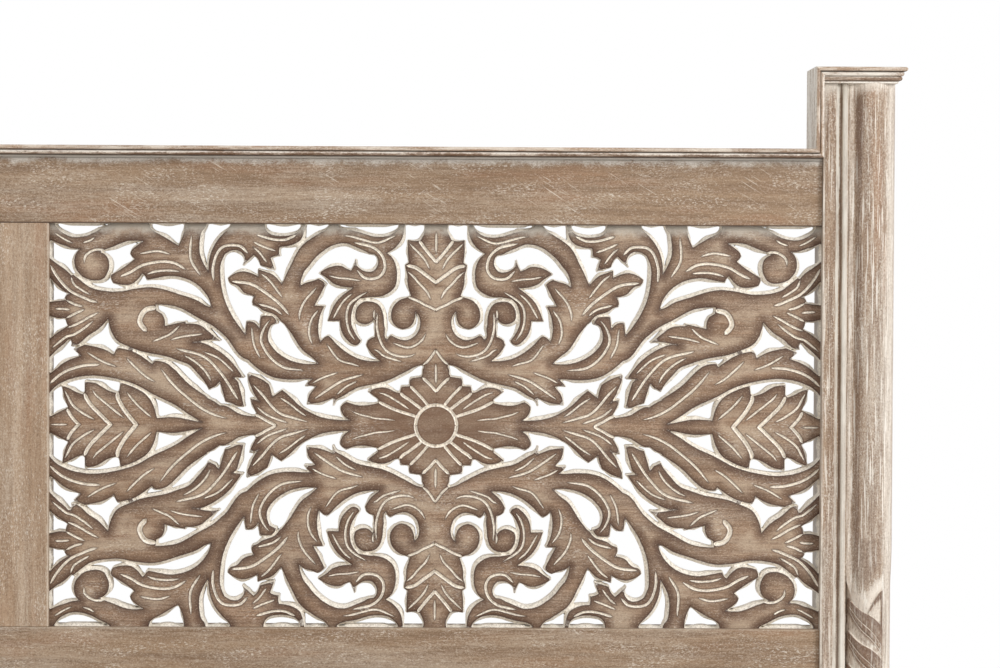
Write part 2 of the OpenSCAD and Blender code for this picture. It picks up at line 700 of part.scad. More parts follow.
// Moulded board up the inner side of a post, mitred against the rail cap and the post cap
module riser(side, face_y, z, top) {
    color("burlywood")
        on_side(side)
            intersection() {
                translate([post_x, face_y - col_out, z])
                    rotate([0, 0, -90])
                        linear_extrude(top - z) mirror([0, 1]) nose(post_d + col_out);
                translate([post_x, face_y + far, 0])
                    rotate([90, 0, 0])
                        linear_extrude(2 * far)
                            polygon([
                                [0, z],
                                [0, top - mould_t],
                                [-mould_t, top],
                                [-mould_t, z + mould_t]
                            ]);
            }
}

// Post cap: neck and moulded board, with the nose at the front and at the outer side
module post_cap(side, face_y, top) {
    outer = post_x + post_w;
    color("burlywood")
        on_side(side) {
            intersection() {
                translate([0, face_y - col_out, top - mould_t])
                    rotate([90, 0, 90])
                        linear_extrude(far) mirror([1, 0]) nose(post_d + col_out);
                translate([outer, face_y + far, top - mould_t])
                    rotate([90, 0, 0])
                        linear_extrude(2 * far)
                            difference() {
                                nose(post_w + 2 * mould_t);
                                polygon([
                                    [-post_w - 3 * mould_t, -mould_t],
                                    [-post_w + mould_t, -mould_t],
                                    [-post_w - 2 * mould_t, 2 * mould_t],
                                    [-post_w - 3 * mould_t, 2 * mould_t]
                                ]);
                            }
            }
            intersection() {
                translate([post_x, face_y - col_out, top - mould_t - neck_h])
                    rotate([90, 0, 90])
                        linear_extrude(far) mirror([1, 0]) neck(post_d + col_out);
                translate([outer, face_y + far, top - mould_t - neck_h])
                    rotate([90, 0, 0])
                        linear_extrude(2 * far) neck(post_w);
            }
        }
}

// Places its children where a side rail meets a post: the joint plane is y = 0 and +Y runs into the
// post
module at_rail_end(end) {
    x = side_rail_x + side_rail_t / 2;
    if (end == "head") translate([x, head_y, hook_z]) children();
    else translate([x, foot_y + post_d, hook_z]) rotate([0, 0, 180]) children();
}

// Room in a post for the slotted plate, its screws and the hooks
module post_pocket() {
    translate([-plate_w / 2 - play, -end_room, -plate_h / 2 - play])
        cube([plate_w + 2 * play, slot_plate_t + end_room, plate_h + 2 * play]);
    for (k = [-1, 1])
        translate([-hook_t, 0, k * hook_pitch / 2 - slot_h / 2 - hook_drop - end_room])
            cube([2 * hook_t, slot_plate_t + hook_reach + 2 * end_room, slot_h + hook_drop + end_room]);
    plate_screws(screw_play);
}

// The two screws of a slotted plate, or their holes
module plate_screws(grow) {
    for (k = [-1, 1])
        translate([0, 0, k * plate_screw_z])
            rotate([90, 0, 0]) screw_shape(short_screw_l, grow);
}

module slotted_plate() {
    difference() {
        translate([-plate_w / 2, 0, -plate_h / 2]) cube([plate_w, slot_plate_t, plate_h]);
        for (k = [-1, 1])
            translate([-hook_t / 2 - play, -end_room, k * hook_pitch / 2 - slot_h / 2])
                cube([hook_t + 2 * play, slot_plate_t + 2 * end_room, slot_h]);
        plate_screws(screw_play);
    }
}

// Plate on the end of a side rail; its hooks hang in the slots and rest on their lower edges
module hook_plate() {
    neck_end = slot_plate_t + play;
    tip = neck_end + hook_reach - play;
    difference() {
        translate([-plate_w / 2, -hook_plate_t, -plate_h / 2]) cube([plate_w, hook_plate_t, plate_h]);
        rotate([0, 0, 180]) plate_screws(screw_play);
    }
    for (k = [-1, 1])
        translate([-hook_t / 2, 0, k * hook_pitch / 2 - slot_h / 2])
            rotate([90, 0, 90])
                linear_extrude(hook_t)
                    polygon([
                        [-hook_plate_t / 2, 0],
                        [neck_end, 0],
                        [neck_end, -hook_drop],
                        [tip, -hook_drop / 2],
                        [tip, hook_neck_h - 2],
                        [tip - 2, hook_neck_h],
                        [-hook_plate_t / 2, hook_neck_h]
                    ]);
}

// Room in the end of a side rail for the hook plate and its screws
module rail_end_pocket() {
    translate([-plate_w / 2 - play, -hook_plate_t, -plate_h / 2 - play])
        cube([plate_w + 2 * play, hook_plate_t + end_room, plate_h + 2 * play]);
    rotate([0, 0, 180]) plate_screws(screw_play);
}

module at_all_rail_ends() {
    for (side = ["left", "right"], end = ["head", "foot"])
        on_side(side) at_rail_end(end) children();
}

module hook_plates() {
    color("silver") at_all_rail_ends() hook_plate();
}

module slotted_plates() {
    color("silver") at_all_rail_ends() slotted_plate();
}

module side_rail(side) {
    color("tan")
        on_side(side)
            difference() {
                translate([side_rail_x, foot_y + post_d, rail_z])
                    cube([side_rail_t, bed_l, side_rail_h]);
                for (end = ["head", "foot"]) at_rail_end(end) rail_end_pocket();
                ledger_screws(screw_play);
            }
}

// Middle of slat number i
function slat_y(i) = slat_mid_y + (i - (slat_n + 1) / 2) * slat_pitch;

// Screws that hold a ledger to its side rail, midway between slats
module ledger_screws(grow) {
    for (i = [1 : 3 : slat_n - 1])
        translate([side_rail_x - ledger_w, slat_y(i) + slat_pitch / 2, ledger_z + ledger_h / 2])
            rotate([0, -90, 0]) screw_shape(long_screw_l, grow);
}

// Screws that hold the slats down on a ledger
module slat_screws(grow) {
    for (i = [1 : slat_n])
        translate([slat_screw_x, slat_y(i), slat_z + slat_t]) screw_shape(long_screw_l, grow);
}

module ledger(side) {
    color("burlywood")
        on_side(side)
            difference() {
                translate([side_rail_x - ledger_w, slat_mid_y - ledger_l / 2, ledger_z])
                    cube([ledger_w, ledger_l, ledger_h]);
                ledger_screws(screw_play);
                slat_screws(screw_play);
            }
}

module slat(i) {
    color("wheat")
        difference() {
            translate([-slat_l / 2, slat_y(i) - slat_w / 2, slat_z]) cube([slat_l, slat_w, slat_t]);
            for (side = [-1, 1])
                translate([side * slat_screw_x, slat_y(i), slat_z + slat_t])
                    screw_shape(long_screw_l, screw_play);
        }
}

module centre_beam() {
    color("tan")
        difference() {
            translate([-beam_w / 2, beam_from, beam_z]) cube([beam_w, beam_to - beam_from, beam_h]);
            for (side = [-1, 1])
                translate([0, slat_mid_y + side * leg_y, beam_z])
                    cube([
                        leg_tenon_w + 2 * play,
                        leg_tenon_w + 2 * play,
                        2 * (leg_tenon_l + end_room)
                    ], center = true);
        }
}

// Places its children at the middle of a hanger: y = 0 is the face of the bottom rail, and the beam
// runs along +Y
module at_hanger(end) {
    if (end == "head") translate([0, head_y + frame_in, beam_z]) rotate([0, 0, 180]) children();
    else translate([0, foot_y + frame_in + frame_t, beam_z]) children();
}

// The four screws of a hanger, or their holes
module hanger_screws(grow) {
    screw_x = (beam_w + hanger_w) / 4 + hanger_t / 2;
    for (side = [-1, 1], part = [1 / 4, 3 / 4])
        translate([side * screw_x, hanger_t, beam_h * part])
            rotate([-90, 0, 0]) screw_shape(short_screw_l, grow);
}

// Steel hanger: back plate on the rail, two cheeks and a seat under the beam
module hanger() {
    half = beam_w / 2 + play;
    difference() {
        union() {
            translate([-hanger_w / 2, 0, -hanger_t]) cube([hanger_w, hanger_t, beam_h]);
            for (side = [-1, 1])
                translate([side * (half + hanger_t / 2) - hanger_t / 2, 0, -hanger_t])
                    cube([hanger_t, hanger_seat, beam_h]);
            translate([-half - hanger_t, 0, -hanger_t])
                cube([2 * (half + hanger_t), hanger_seat, hanger_t]);
        }
        hanger_screws(screw_play);
    }
}

module beam_hangers() {
    color("silver") for (end = ["head", "foot"]) at_hanger(end) hanger();
}

module at_leg(end) {
    translate([0, slat_mid_y + (end == "head" ? 1 : -1) * leg_y, 0]) children();
}

// Square leg with a stub tenon into the beam, and a hole for its insert and the levelling stem
module centre_leg(end) {
    stem_room = pad_t + stem_l + level_travel + end_room;
    color("tan")
        at_leg(end)
            difference() {
                union() {
                    translate([-leg_w / 2, -leg_w / 2, leg_z]) cube([leg_w, leg_w, beam_z - leg_z]);
                    translate([-leg_tenon_w / 2, -leg_tenon_w / 2, beam_z - end_room])
                        cube([leg_tenon_w, leg_tenon_w, leg_tenon_l + end_room]);
                }
                translate([0, 0, leg_z - end_room])
                    cylinder(r = insert_r + play, h = insert_l + 2 * end_room);
                translate([0, 0, leg_z]) cylinder(r = stem_r + end_room, h = stem_room - leg_z);
            }
}

// Flanged steel insert in the end of a leg, with the bore for the stem
module leg_insert() {
    difference() {
        union() {
            translate([0, 0, leg_z]) cylinder(r = insert_r, h = insert_l);
            translate([0, 0, leg_z - insert_flange_t])
                cylinder(r = insert_flange_r, h = insert_flange_t);
        }
        translate([0, 0, leg_z - 2 * insert_flange_t])
            cylinder(r = stem_r + stem_play, h = insert_l + 3 * insert_flange_t);
    }
}

module leg_inserts() {
    color("silver") for (end = ["head", "foot"]) at_leg(end) leg_insert();
}

// Levelling foot: round pad with a rounded rim, and a steel stem
module levelling_foot(end) {
    rim = pad_t / 4;
    color("dimgray")
        at_leg(end) {
            rotate_extrude()
                polygon([
                    [0, 0],
                    [foot_r - rim / 2, 0],
                    [foot_r, rim],
                    [foot_r, pad_t / 2],
                    [stem_r + rim, pad_t],
                    [0, pad_t]
                ]);
            cylinder(r = stem_r, h = pad_t + stem_l);
        }
}

module post_glides() {
    color("dimgray")
        for (side = [-1, 1], face_y = [head_y, foot_y])
            translate([side * (post_x + post_w / 2), face_y + post_d / 2, 0]) {
                cylinder(r = glide_r, h = glide_t);
                cylinder(r = glide_peg_r, h = glide_t + glide_peg_l);
            }
}

module screws() {
    color("silver") {
        for (side = ["left", "right"])
            on_side(side) {
                ledger_screws(0);
                slat_screws(0);
            }
        for (end = ["head", "foot"]) at_hanger(end) hanger_screws(0);
        at_all_rail_ends() {
            plate_screws(0);
            rotate([0, 0, 180]) plate_screws(0);
        }
    }
}

head_post("left");  // head_post_left
head_post("right");  // head_post_right
column("left", head_y, head_col_z, head_top_z, head_leaf_l);  // head_column_left
column("right", head_y, head_col_z, head_top_z, head_leaf_l);  // head_column_right
post_cap("left", head_y, head_top_z);  // head_cap_left
post_cap("right", head_y, head_top_z);  // head_cap_right
riser("left", head_y, head_cap_z, head_top_z);  // head_riser_left
riser("right", head_y, head_cap_z, head_top_z);  // head_riser_right
rail_cap(head_y, head_cap_z);  // head_rail_cap
top_rail(head_y, head_top_rail_z, carving_y, carving_t);  // head_top_rail
mid_rail();  // head_mid_rail
bottom_rail(head_y, "head");  // head_bottom_rail
stile(head_y, carving_z, carving_h, carving_y, carving_t);  // head_centre_stile
stile(head_y, plain_z, plain_h, plain_y, plain_t);  // head_lower_stile
carved_panel("left");  // carved_panel_left
carved_panel("right");  // carved_panel_right
plain_panel("left", head_y, plain_h);  // head_plain_panel_left
plain_panel("right", head_y, plain_h);  // head_plain_panel_right
foot_post("left");  // foot_post_left
foot_post("right");  // foot_post_right
column("left", foot_y, foot_col_z, foot_top_z, foot_leaf_l);  // foot_column_left
column("right", foot_y, foot_col_z, foot_top_z, foot_leaf_l);  // foot_column_right
post_cap("left", foot_y, foot_top_z);  // foot_cap_left
post_cap("right", foot_y, foot_top_z);  // foot_cap_right
riser("left", foot_y, foot_cap_z, foot_top_z);  // foot_riser_left
riser("right", foot_y, foot_cap_z, foot_top_z);  // foot_riser_right
rail_cap(foot_y, foot_cap_z);  // foot_rail_cap
top_rail(foot_y, foot_top_rail_z, plain_y, plain_t);  // foot_top_rail
bottom_rail(foot_y, "foot");  // foot_bottom_rail
stile(foot_y, plain_z, foot_panel_h, plain_y, plain_t);  // foot_centre_stile
plain_panel("left", foot_y, foot_panel_h);  // foot_panel_left
plain_panel("right", foot_y, foot_panel_h);  // foot_panel_right
side_rail("left");  // side_rail_left
side_rail("right");  // side_rail_right
ledger("left");  // ledger_left
ledger("right");  // ledger_right
hook_plates();
slotted_plates();
centre_beam();
beam_hangers();
centre_leg("head");  // centre_leg_head
centre_leg("foot");  // centre_leg_foot
levelling_foot("head");  // levelling_foot_head
levelling_foot("foot");  // levelling_foot_foot
leg_inserts();
post_glides();
screws();
for (i = [1 : slat_n]) slat(i);
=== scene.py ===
from math import cos, pi, radians, sin

import bmesh
import bpy
import numpy as np
from mathutils import Matrix, Vector
from mathutils.geometry import delaunay_2d_cdt


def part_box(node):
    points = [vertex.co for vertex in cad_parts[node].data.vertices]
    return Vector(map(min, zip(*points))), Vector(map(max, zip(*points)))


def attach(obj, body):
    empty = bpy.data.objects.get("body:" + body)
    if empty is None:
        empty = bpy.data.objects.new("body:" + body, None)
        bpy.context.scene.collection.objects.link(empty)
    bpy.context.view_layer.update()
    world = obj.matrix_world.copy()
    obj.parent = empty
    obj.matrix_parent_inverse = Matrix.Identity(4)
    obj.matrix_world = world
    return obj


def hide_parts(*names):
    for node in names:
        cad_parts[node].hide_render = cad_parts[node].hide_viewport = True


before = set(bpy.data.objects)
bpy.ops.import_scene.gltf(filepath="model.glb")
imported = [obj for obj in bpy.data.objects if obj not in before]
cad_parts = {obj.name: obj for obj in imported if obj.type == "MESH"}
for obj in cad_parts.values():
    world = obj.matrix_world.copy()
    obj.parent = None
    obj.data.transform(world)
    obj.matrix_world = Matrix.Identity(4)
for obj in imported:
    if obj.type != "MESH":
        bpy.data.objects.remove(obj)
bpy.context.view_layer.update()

# Rails and stiles of the headboard and footboard
# Flat boards of mango wood, 38 mm thick, tenoned into the posts and into each other. They are stained
# brown, brushed with white wash and rubbed down, so the wash stays in the grain and on the edges.
MM = 0.001
PER_METRE = (1000, 1000, 1000)
HEAD_RAILS = ["head_top_rail", "head_mid_rail", "head_bottom_rail"]
FOOT_RAILS = ["foot_top_rail", "foot_bottom_rail"]
STILES = ["head_centre_stile", "head_lower_stile", "foot_centre_stile"]
ARRIS, FINE_ARRIS = 0.9, 0.4
LONG_EDGE = 4.0
SAME_POINT, FLAT_ANGLE, SHARP_ANGLE = 0.002, radians(0.4), radians(30)
SCRATCH_TURN = radians(-32)
WANDER, GRAIN_DRAW = 9, 1 / 22


def linear(red, green, blue):
    """A colour as it shows on a screen, 0 to 255, on the linear scale of the renderer."""
    c = np.array([red, green, blue]) / 255
    return (*np.where(c <= 0.04045, c / 12.92, ((c + 0.055) / 1.055) ** 2.4), 1.0)


class Value:
    """A socket of a material. Arithmetic on it adds Math nodes, and node() adds any other node."""

    def __init__(self, tree, socket):
        self.tree, self.socket = tree, socket

    def node(self, kind, inputs, output=0, **settings):
        """A node of that type, its settings made first, then its inputs as numbers or links."""
        made = self.tree.nodes.new("ShaderNode" + kind)
        for key, value in settings.items():
            setattr(made, key, value)
        for key, value in inputs.items():
            if isinstance(value, Value):
                self.tree.links.new(value.socket, made.inputs[key])
            else:
                made.inputs[key].default_value = value
        return Value(self.tree, made.outputs[output])

    def math(self, operation, *others):
        return self.node("Math", dict(enumerate((self, *others))), operation=operation)

    def vector(self, operation, *others, output=0):
        return self.node("VectorMath", dict(enumerate((self, *others))), output, operation=operation)

    def __add__(self, other):
        return self.math("ADD", other)

    __radd__ = __add__

    def __sub__(self, other):
        return self.math("SUBTRACT", other)

    def __rsub__(self, other):
        return self.node("Math", {0: other, 1: self}, operation="SUBTRACT")

    def __mul__(self, other):
        return self.math("MULTIPLY", other)

    __rmul__ = __mul__

    def step(self, low, high):
        """0 below low, 1 above high and a smooth change between them."""
        return self.node("MapRange", {0: self, 1: low, 2: high}, interpolation_type="SMOOTHSTEP")

    def scaled(self, axis, factor):
        """The vector with its part along one axis times a factor. Noise on it is drawn out along that
        axis when the factor is below 1."""
        return self.vector("MULTIPLY", [factor if k == axis else 1.0 for k in range(3)])

    def part(self, axis):
        return self.node("SeparateXYZ", {0: self}, axis)

    def noise(self, size, detail=3.0, roughness=0.55, output=0):
        """Cloudy noise whose patches are about that size, from 0 to 1."""
        return self.node(
            "TexNoise",
            {"Vector": self, "Scale": 1 / size, "Detail": detail, "Roughness": roughness},
            output,
        )

    def between(self, first, second):
        """The first colour where this is 0 and the second where it is 1."""
        return self.node("Mix", {0: self, 6: first, 7: second}, 2, data_type="RGBA")

    def over(self, colour, mask):
        """This colour with another one laid over it where the mask is 1."""
        return mask.between(self, colour)

    def attribute(self, name):
        return self.node("Attribute", {}, 2, attribute_name=name)

    def measure(self, name):
        """A vector that the mesh holds in metres, in mm."""
        return self.node("Attribute", {}, 1, attribute_name=name).vector("MULTIPLY", PER_METRE)


def new_material(name):
    """An empty material, its shader node, and the place of each point in mm."""
    material = bpy.data.materials.new(name)
    material.use_nodes = True
    start = Value(material.node_tree, None)
    place = start.node("TexCoord", {}, "Object").vector("MULTIPLY", PER_METRE)
    return material, material.node_tree.nodes["Principled BSDF"], place


def finish_material(shader, colour, roughness, height):
    """Links the colour, the roughness and a relief in mm to the shader."""
    relief = height.node("Bump", {"Strength": 1.0, "Distance": MM, "Height": height})
    for name, value in [("Base Color", colour), ("Roughness", roughness), ("Normal", relief)]:
        value.tree.links.new(value.socket, shader.inputs[name])


def edge_distance(place):
    """Distance in mm to the nearest edge of the board: the middle one of the three distances to its
    faces."""
    offset = place.vector("SUBTRACT", place.measure("centre")).vector("ABSOLUTE")
    inside = place.measure("half").vector("SUBTRACT", offset)
    x, y, z = (inside.part(k) for k in range(3))
    return x.math("MINIMUM", y).math("MAXIMUM", x.math("MAXIMUM", y).math("MINIMUM", z))


def grain(place, along):
    """The place shortened along the grain, with a slow wander across it."""
    wander = place.scaled(along, 0.3).noise(60, 1.0, output=1)
    wander = wander.vector("ADD", (-0.5, -0.5, -0.5)).vector("MULTIPLY", (WANDER, WANDER, WANDER))
    return place.vector("ADD", wander).scaled(along, GRAIN_DRAW)


def washed_wood(place, along, brown, dark, light, white, wash):
    """Colour and relief of washed wood: brown zones and fibres along the grain, short flecks of wash and
    of bare pores, and thin clouds of wash."""
    lines = grain(place, along)
    zones = place.scaled(along, 0.16).noise(24, 3.0)
    veins = place.scaled(along, 0.07).noise(9, 3.0, 0.6)
    rings = lines.noise(9, 3.0).step(0.36, 0.66)
    fibre = lines.noise(1.5, 4.0, 0.7)
    fine = lines.noise(0.5, 2.0, 0.6)
    cloud = place.scaled(along, 0.14).noise(26, 4.0, 0.6)
    pore = lines.scaled(along, 2.2).noise(0.8, 1.0)
    fleck = lines.scaled(along, 15.0).noise(1.3, 3.0, 0.9)
    dash = lines.scaled(along, 7.0).noise(0.9, 1.0, 0.6)
    cluster = place.scaled(along, 0.3).noise(17, 2.0, 0.5)
    colour = (rings * 0.6 + fibre * 0.4).between(dark, brown)
    colour = colour.over(linear(150, 110, 80), zones.step(0.50, 0.68) * (0.1 + wash))
    colour = colour.over(dark, veins.step(0.50, 0.36) * 0.65)
    colour = colour.over(light, (fibre * 0.6 + fine * 0.4).step(0.42, 0.64) * 0.3)
    haze = (cloud + (fibre - 0.5) * 0.4 + (fleck - 0.5) * 0.6).step(0.40, 0.72)
    colour = colour.over(white, haze * wash * 0.75)
    filled = pore.step(0.60, 0.68)
    colour = colour.over(white, filled * (0.05 + wash * 0.15 + haze * 0.2))
    colour = colour.over(white, fleck.step(0.54, 0.66) * wash * 1.1)
    dashes = dash.step(0.56, 0.67) * cluster.step(0.46, 0.62) * min(0.45, wash * 2)
    colour = colour.over(linear(236, 229, 217), dashes)
    dirt = pore.step(0.40, 0.33)
    colour = colour.over(linear(88, 66, 48), dirt * 0.2)
    colour = colour.over(linear(84, 62, 45), fleck.step(0.46, 0.32) * (0.15 + wash * 1.2))
    height = fibre * 0.07 + fine * 0.04 + fleck * 0.10 - dirt * 0.06
    return colour, height, haze, fibre


def board_wood(name, along, brown, dark, light, wash, rub=0.3, crown=0.0):
    """Wood of a board with paler, rubbed edges. With a crown, wash lies thick under its top edge, below a
    thin pale line and a thin dark line that stand in for a deeper moulding above. The dark line is painted
    shadow, and the wash is painted paler than wash alone, as painted light against the shade of the
    moulding. Its bottom edge is painted dark, as painted shadow in the gap above the panel below."""
    material, shader, place = new_material(name)
    white = linear(214, 204, 188)
    colour, height, haze, fibre = washed_wood(place, along, brown, dark, light, white, wash)
    ragged = place.noise(5, 3.0, 0.7)
    rubbed = (edge_distance(place) - ragged * 3.2).step(0.6, -1.1)
    colour = colour.over(white, rubbed * rub)
    if crown:
        z, mid, reach = (v.part(2) for v in (place, place.measure("centre"), place.measure("half")))
        down, up = mid + reach - z, z - mid + reach
        flecks = place.scaled(0, 0.5).noise(1.3, 3.0, 0.85)
        uneven = (place.noise(28, 2.0) - 0.5) * 14 + (ragged - 0.5) * 9 + (flecks - 0.5) * 16
        # Wash under the top edge, painted paler than wash alone: painted light that lifts the shade under
        # the moulding above.
        colour = colour.over(linear(232, 228, 219), (down + uneven).step(9, 1) * crown)
        # A thin pale line along the top edge; with the dark line below it, it stands in for the lower edge
        # of a deeper moulding.
        colour = colour.over(linear(246, 241, 232), down.step(2.1, 1.4) * crown)
        turned = place.node("VectorRotate", {"Vector": place, "Axis": (0, 1, 0), "Angle": SCRATCH_TURN})
        scratch = turned.scaled(0, 0.05).noise(1.6, 2.0, 0.6).step(0.60, 0.70)
        scratch = scratch * place.noise(60, 2.0).step(0.5, 0.62)
        colour = colour.over(linear(228, 219, 203), scratch * 0.6)
        # Painted shadow: a thin dark line under the top edge, standing in for the shadow line of a deeper
        # moulding.
        colour = colour.over(linear(86, 70, 58), band(down, 2.2, 2.9) * crown * 0.6)
        # Painted shadow: the bottom edge is painted dark, as the shade in the gap above the panel below.
        colour = colour.over(linear(78, 56, 40), (up + (ragged - 0.5) * 0.8).step(1.7, 0.7) * 0.85)
    specks = place.noise(2.6, 2.0, 0.7)
    colour = colour.over(linear(70, 52, 38), specks.step(0.73, 0.79) * 0.6)
    colour = colour.over(linear(226, 216, 200), specks.step(0.27, 0.22) * 0.7)
    finish_material(shader, colour, 0.62 - haze * 0.08 + fibre * 0.1, height + ragged * 0.12)
    return material


def band(value, low, high):
    """1 between two values of a measure, fading over half a millimetre outside."""
    return value.step(low - 0.5, low + 0.3) * value.step(high + 0.5, high - 0.3)


def add_piece(name, mesh, material, node):
    """The mesh as a piece of the frame that stands in for a CAD node."""
    mesh.materials.clear()
    mesh.materials.append(material)
    piece = bpy.data.objects.new(name, mesh)
    bpy.context.scene.collection.objects.link(piece)
    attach(piece, "frame")
    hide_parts(node)
    return piece


def dressed(node, material, arris=ARRIS):
    """A copy of a CAD piece with its triangles merged into whole faces and its long edges rounded."""
    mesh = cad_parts[node].data.copy()
    shape = bmesh.new()
    shape.from_mesh(mesh)
    bmesh.ops.remove_doubles(shape, verts=shape.verts, dist=SAME_POINT * MM)
    bmesh.ops.dissolve_limit(shape, verts=shape.verts, edges=shape.edges, angle_limit=FLAT_ANGLE)
    angles = np.array([edge.calc_face_angle(0) for edge in shape.edges])
    lengths = np.array([edge.calc_length() for edge in shape.edges])
    shape.to_mesh(mesh)
    shape.free()
    weight = mesh.attributes.new("bevel_weight_edge", "FLOAT", "EDGE")
    rounded = (angles > SHARP_ANGLE) & (lengths > LONG_EDGE * MM)
    weight.data.foreach_set("value", rounded.astype(np.float32))
    mesh.set_sharp_from_angle(angle=SHARP_ANGLE)
    low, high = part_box(node)
    for name, vector in [("centre", (low + high) / 2), ("half", (high - low) / 2)]:
        layer = mesh.attributes.new(name, "FLOAT_VECTOR", "POINT")
        layer.data.foreach_set("vector", np.tile(vector, len(mesh.vertices)))
    bevel = add_piece(node + "_dressed", mesh, material, node).modifiers.new("rounded edges", "BEVEL")
    bevel.width = arris * MM
    bevel.segments = 2
    bevel.limit_method = "WEIGHT"
    bevel.use_clamp_overlap = False
    bevel.harden_normals = True


rail_colours = linear(152, 126, 99), linear(120, 94, 70), linear(174, 148, 120)
top_rail_wood = board_wood("top_rail_wood", 0, *rail_colours, 0.3, rub=0.12, crown=0.8)
rail_wood = board_wood("rail_wood", 0, *rail_colours, 0.3, rub=0.15)
stile_wood = board_wood(
    "stile_wood", 2, linear(174, 147, 120), linear(142, 115, 89), linear(190, 165, 140), 0.35, rub=0.5
)
for node in HEAD_RAILS + FOOT_RAILS:
    dressed(node, top_rail_wood if "top" in node else rail_wood)
for node in STILES:
    dressed(node, stile_wood)

# Plain panels
# Thin boards under the carved ones and in the footboard, grain upright. They float in grooves all
# round, without glue, so that they can swell.
panel_wood = board_wood(
    "panel_wood", 2, linear(162, 135, 108), linear(130, 103, 78), linear(182, 157, 130), 0.3
)
for node in ["head_plain_panel_left", "head_plain_panel_right", "foot_panel_left", "foot_panel_right"]:
    dressed(node, panel_wood, FINE_ARRIS)

# Posts
# Square posts of the same wood with a flat fillet, a cove and a bead run down their front edge, beside
# the corner that is cut out for the round column. The white wash stays in the cove and under the cap.
POSTS = ["head_post_left", "head_post_right", "foot_post_left", "foot_post_right"]
FILLET_W, COVE_R = 12.5, 2.5
MOULDED_FROM_HEAD, MOULDED_FROM_FOOT = 432.0, 150.0
WASH = linear(220, 213, 201)


def corners(node):
    """Both corners of a CAD node's box, in mm."""
    return [np.array(corner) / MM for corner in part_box(node)]


def post_wood():
    """Upright grain with much wash: pale wash in the cove, pale on the bead as wash and as a painted
    highlight, painted shade in the quirk between them, and a pale cloud under the cap where the brush could
    not be wiped."""
    material, shader, place = new_material("post_wood")
    brown, dark, light = linear(168, 142, 117), linear(128, 102, 80), linear(190, 168, 144)
    colour, height, haze, fibre = washed_wood(place, 2, brown, dark, light, WASH, 0.55)
    z, centre = place.part(2), place.measure("centre")
    across = place.part(0).math("ABSOLUTE") - corners("head_post_right")[0][0]
    at_head = centre.part(1).math("GREATER_THAN", 0.0)
    moulded_from = at_head * (MOULDED_FROM_HEAD - MOULDED_FROM_FOOT) + MOULDED_FROM_FOOT
    moulded = z.math("GREATER_THAN", moulded_from)
    streak = place.scaled(2, 0.04).noise(2.0, 3.0, 0.7)
    blot = place.scaled(2, 0.35).noise(14, 3.0, 0.6)
    shaken = across + (streak - 0.5) * 1.2
    cove = band(shaken, FILLET_W - 0.6, FILLET_W + 2.0) * (0.45 + blot.step(0.4, 0.6) * 0.5)
    bead_from = FILLET_W + 2 * COVE_R
    # The bead is painted pale, as wash and as a painted highlight along its round.
    bead = band(shaken, bead_from + 0.2, bead_from + 5.4) * (0.3 + streak * 0.7 + blot.step(0.4, 0.6) * 0.3)
    thread = place.scaled(2, 0.03).noise(1.5, 1.5, 0.6)
    quirk = band(shaken, FILLET_W + COVE_R + 0.8, bead_from - 0.6)
    edge = band(shaken, -2.0, 1.6) * (0.25 + blot.step(0.45, 0.6) * 0.35)
    under_cap = (centre.part(2) + place.measure("half").part(2) - z + (blot - 0.5) * 22).step(16, 2)
    pale = (cove.math("MAXIMUM", bead) * moulded).math("MAXIMUM", edge).math("MAXIMUM", under_cap * 0.7)
    colour = colour.over(linear(100, 76, 58), thread.step(0.42, 0.34) * 0.45)
    colour = colour.over(linear(234, 227, 216), thread.step(0.58, 0.66) * 0.6)
    colour = colour.over(WASH, pale)
    # Painted shade in the quirk between cove and bead.
    colour = colour.over(linear(96, 72, 54), quirk * moulded * 0.75)
    ragged = place.noise(5, 3.0, 0.7)
    finish_material(shader, colour, 0.6 - haze * 0.06 + fibre * 0.1, height + ragged * 0.1)
    return material


posts_wood = post_wood()
for node in POSTS:
    dressed(node, posts_wood, FINE_ARRIS)

# Columns
# Half-round columns at the outer front corners of the posts, glued into the cut-out corner. The shaft is
# plain above, and its foot sinks in a point between two tips of the twisted leaves that are cut below.
COLUMNS = ["head_column_left", "head_column_right", "foot_column_left", "foot_column_right"]
COLUMN_R, COLUMN_BACK = 22.0, 6.0
HOLLOW_AT, WALL_AT, HOLLOW_SAG = radians(-42), radians(-58.4), 0.9
LEAF_PITCH, TIP_AT, STRIP_AT, LEAF_DROP = 30.7, radians(-66), radians(35), 27.0
LEAF_DEEP, VEIN_CUT, VEIN_HALF, STRIP_DEEP = 2.6, 0.75, 0.028, 1.2
FIRST_TIP, TOP_TIP_AT, TOP_TIP_DROP, NOTCH_AT = 8.0, radians(34), 22.5, radians(-7)
POINT_AT, POINT_UP, SHAFT_RUN, SHAFT_SINK = radians(-22), 4.6, 45.0, 2.3
LEAVES_HEAD, LEAVES_FOOT, PLAIN_FOOT = 346.0, 246.0, 8.0
# Rings of a leaf, each with its place, its depth in mm, its wash and its brown. The brown of the lip, just
# under the leaf above, is painted shadow. Those of the blade lie between the second vein, 0, and the next
# leaf, 1. Those of the lip count from the upper edge.
BLADE = [
    (0.97, 2.6, 1.0, 0.0), (0.86, 2.652, 0.6, 0.1), (0.72, 2.47, 0.5, 0.15), (0.52, 2.028, 0.55, 0.05),
    (0.32, 1.508, 0.45, 0.2)
]
# The lip's brown is painted shadow under the leaf above.
LIP = [(0.07, 0.0, 0.0, 0.85), (0.03, 0.08, 0.0, 1.0), (0.0, 0.35, 0.0, 1.0)]


def ease(value, low, high):
    """0 below low, 1 above high and a smooth change between them."""
    t = np.clip((value - low) / (high - low), 0, 1)
    return t * t * (3 - 2 * t)


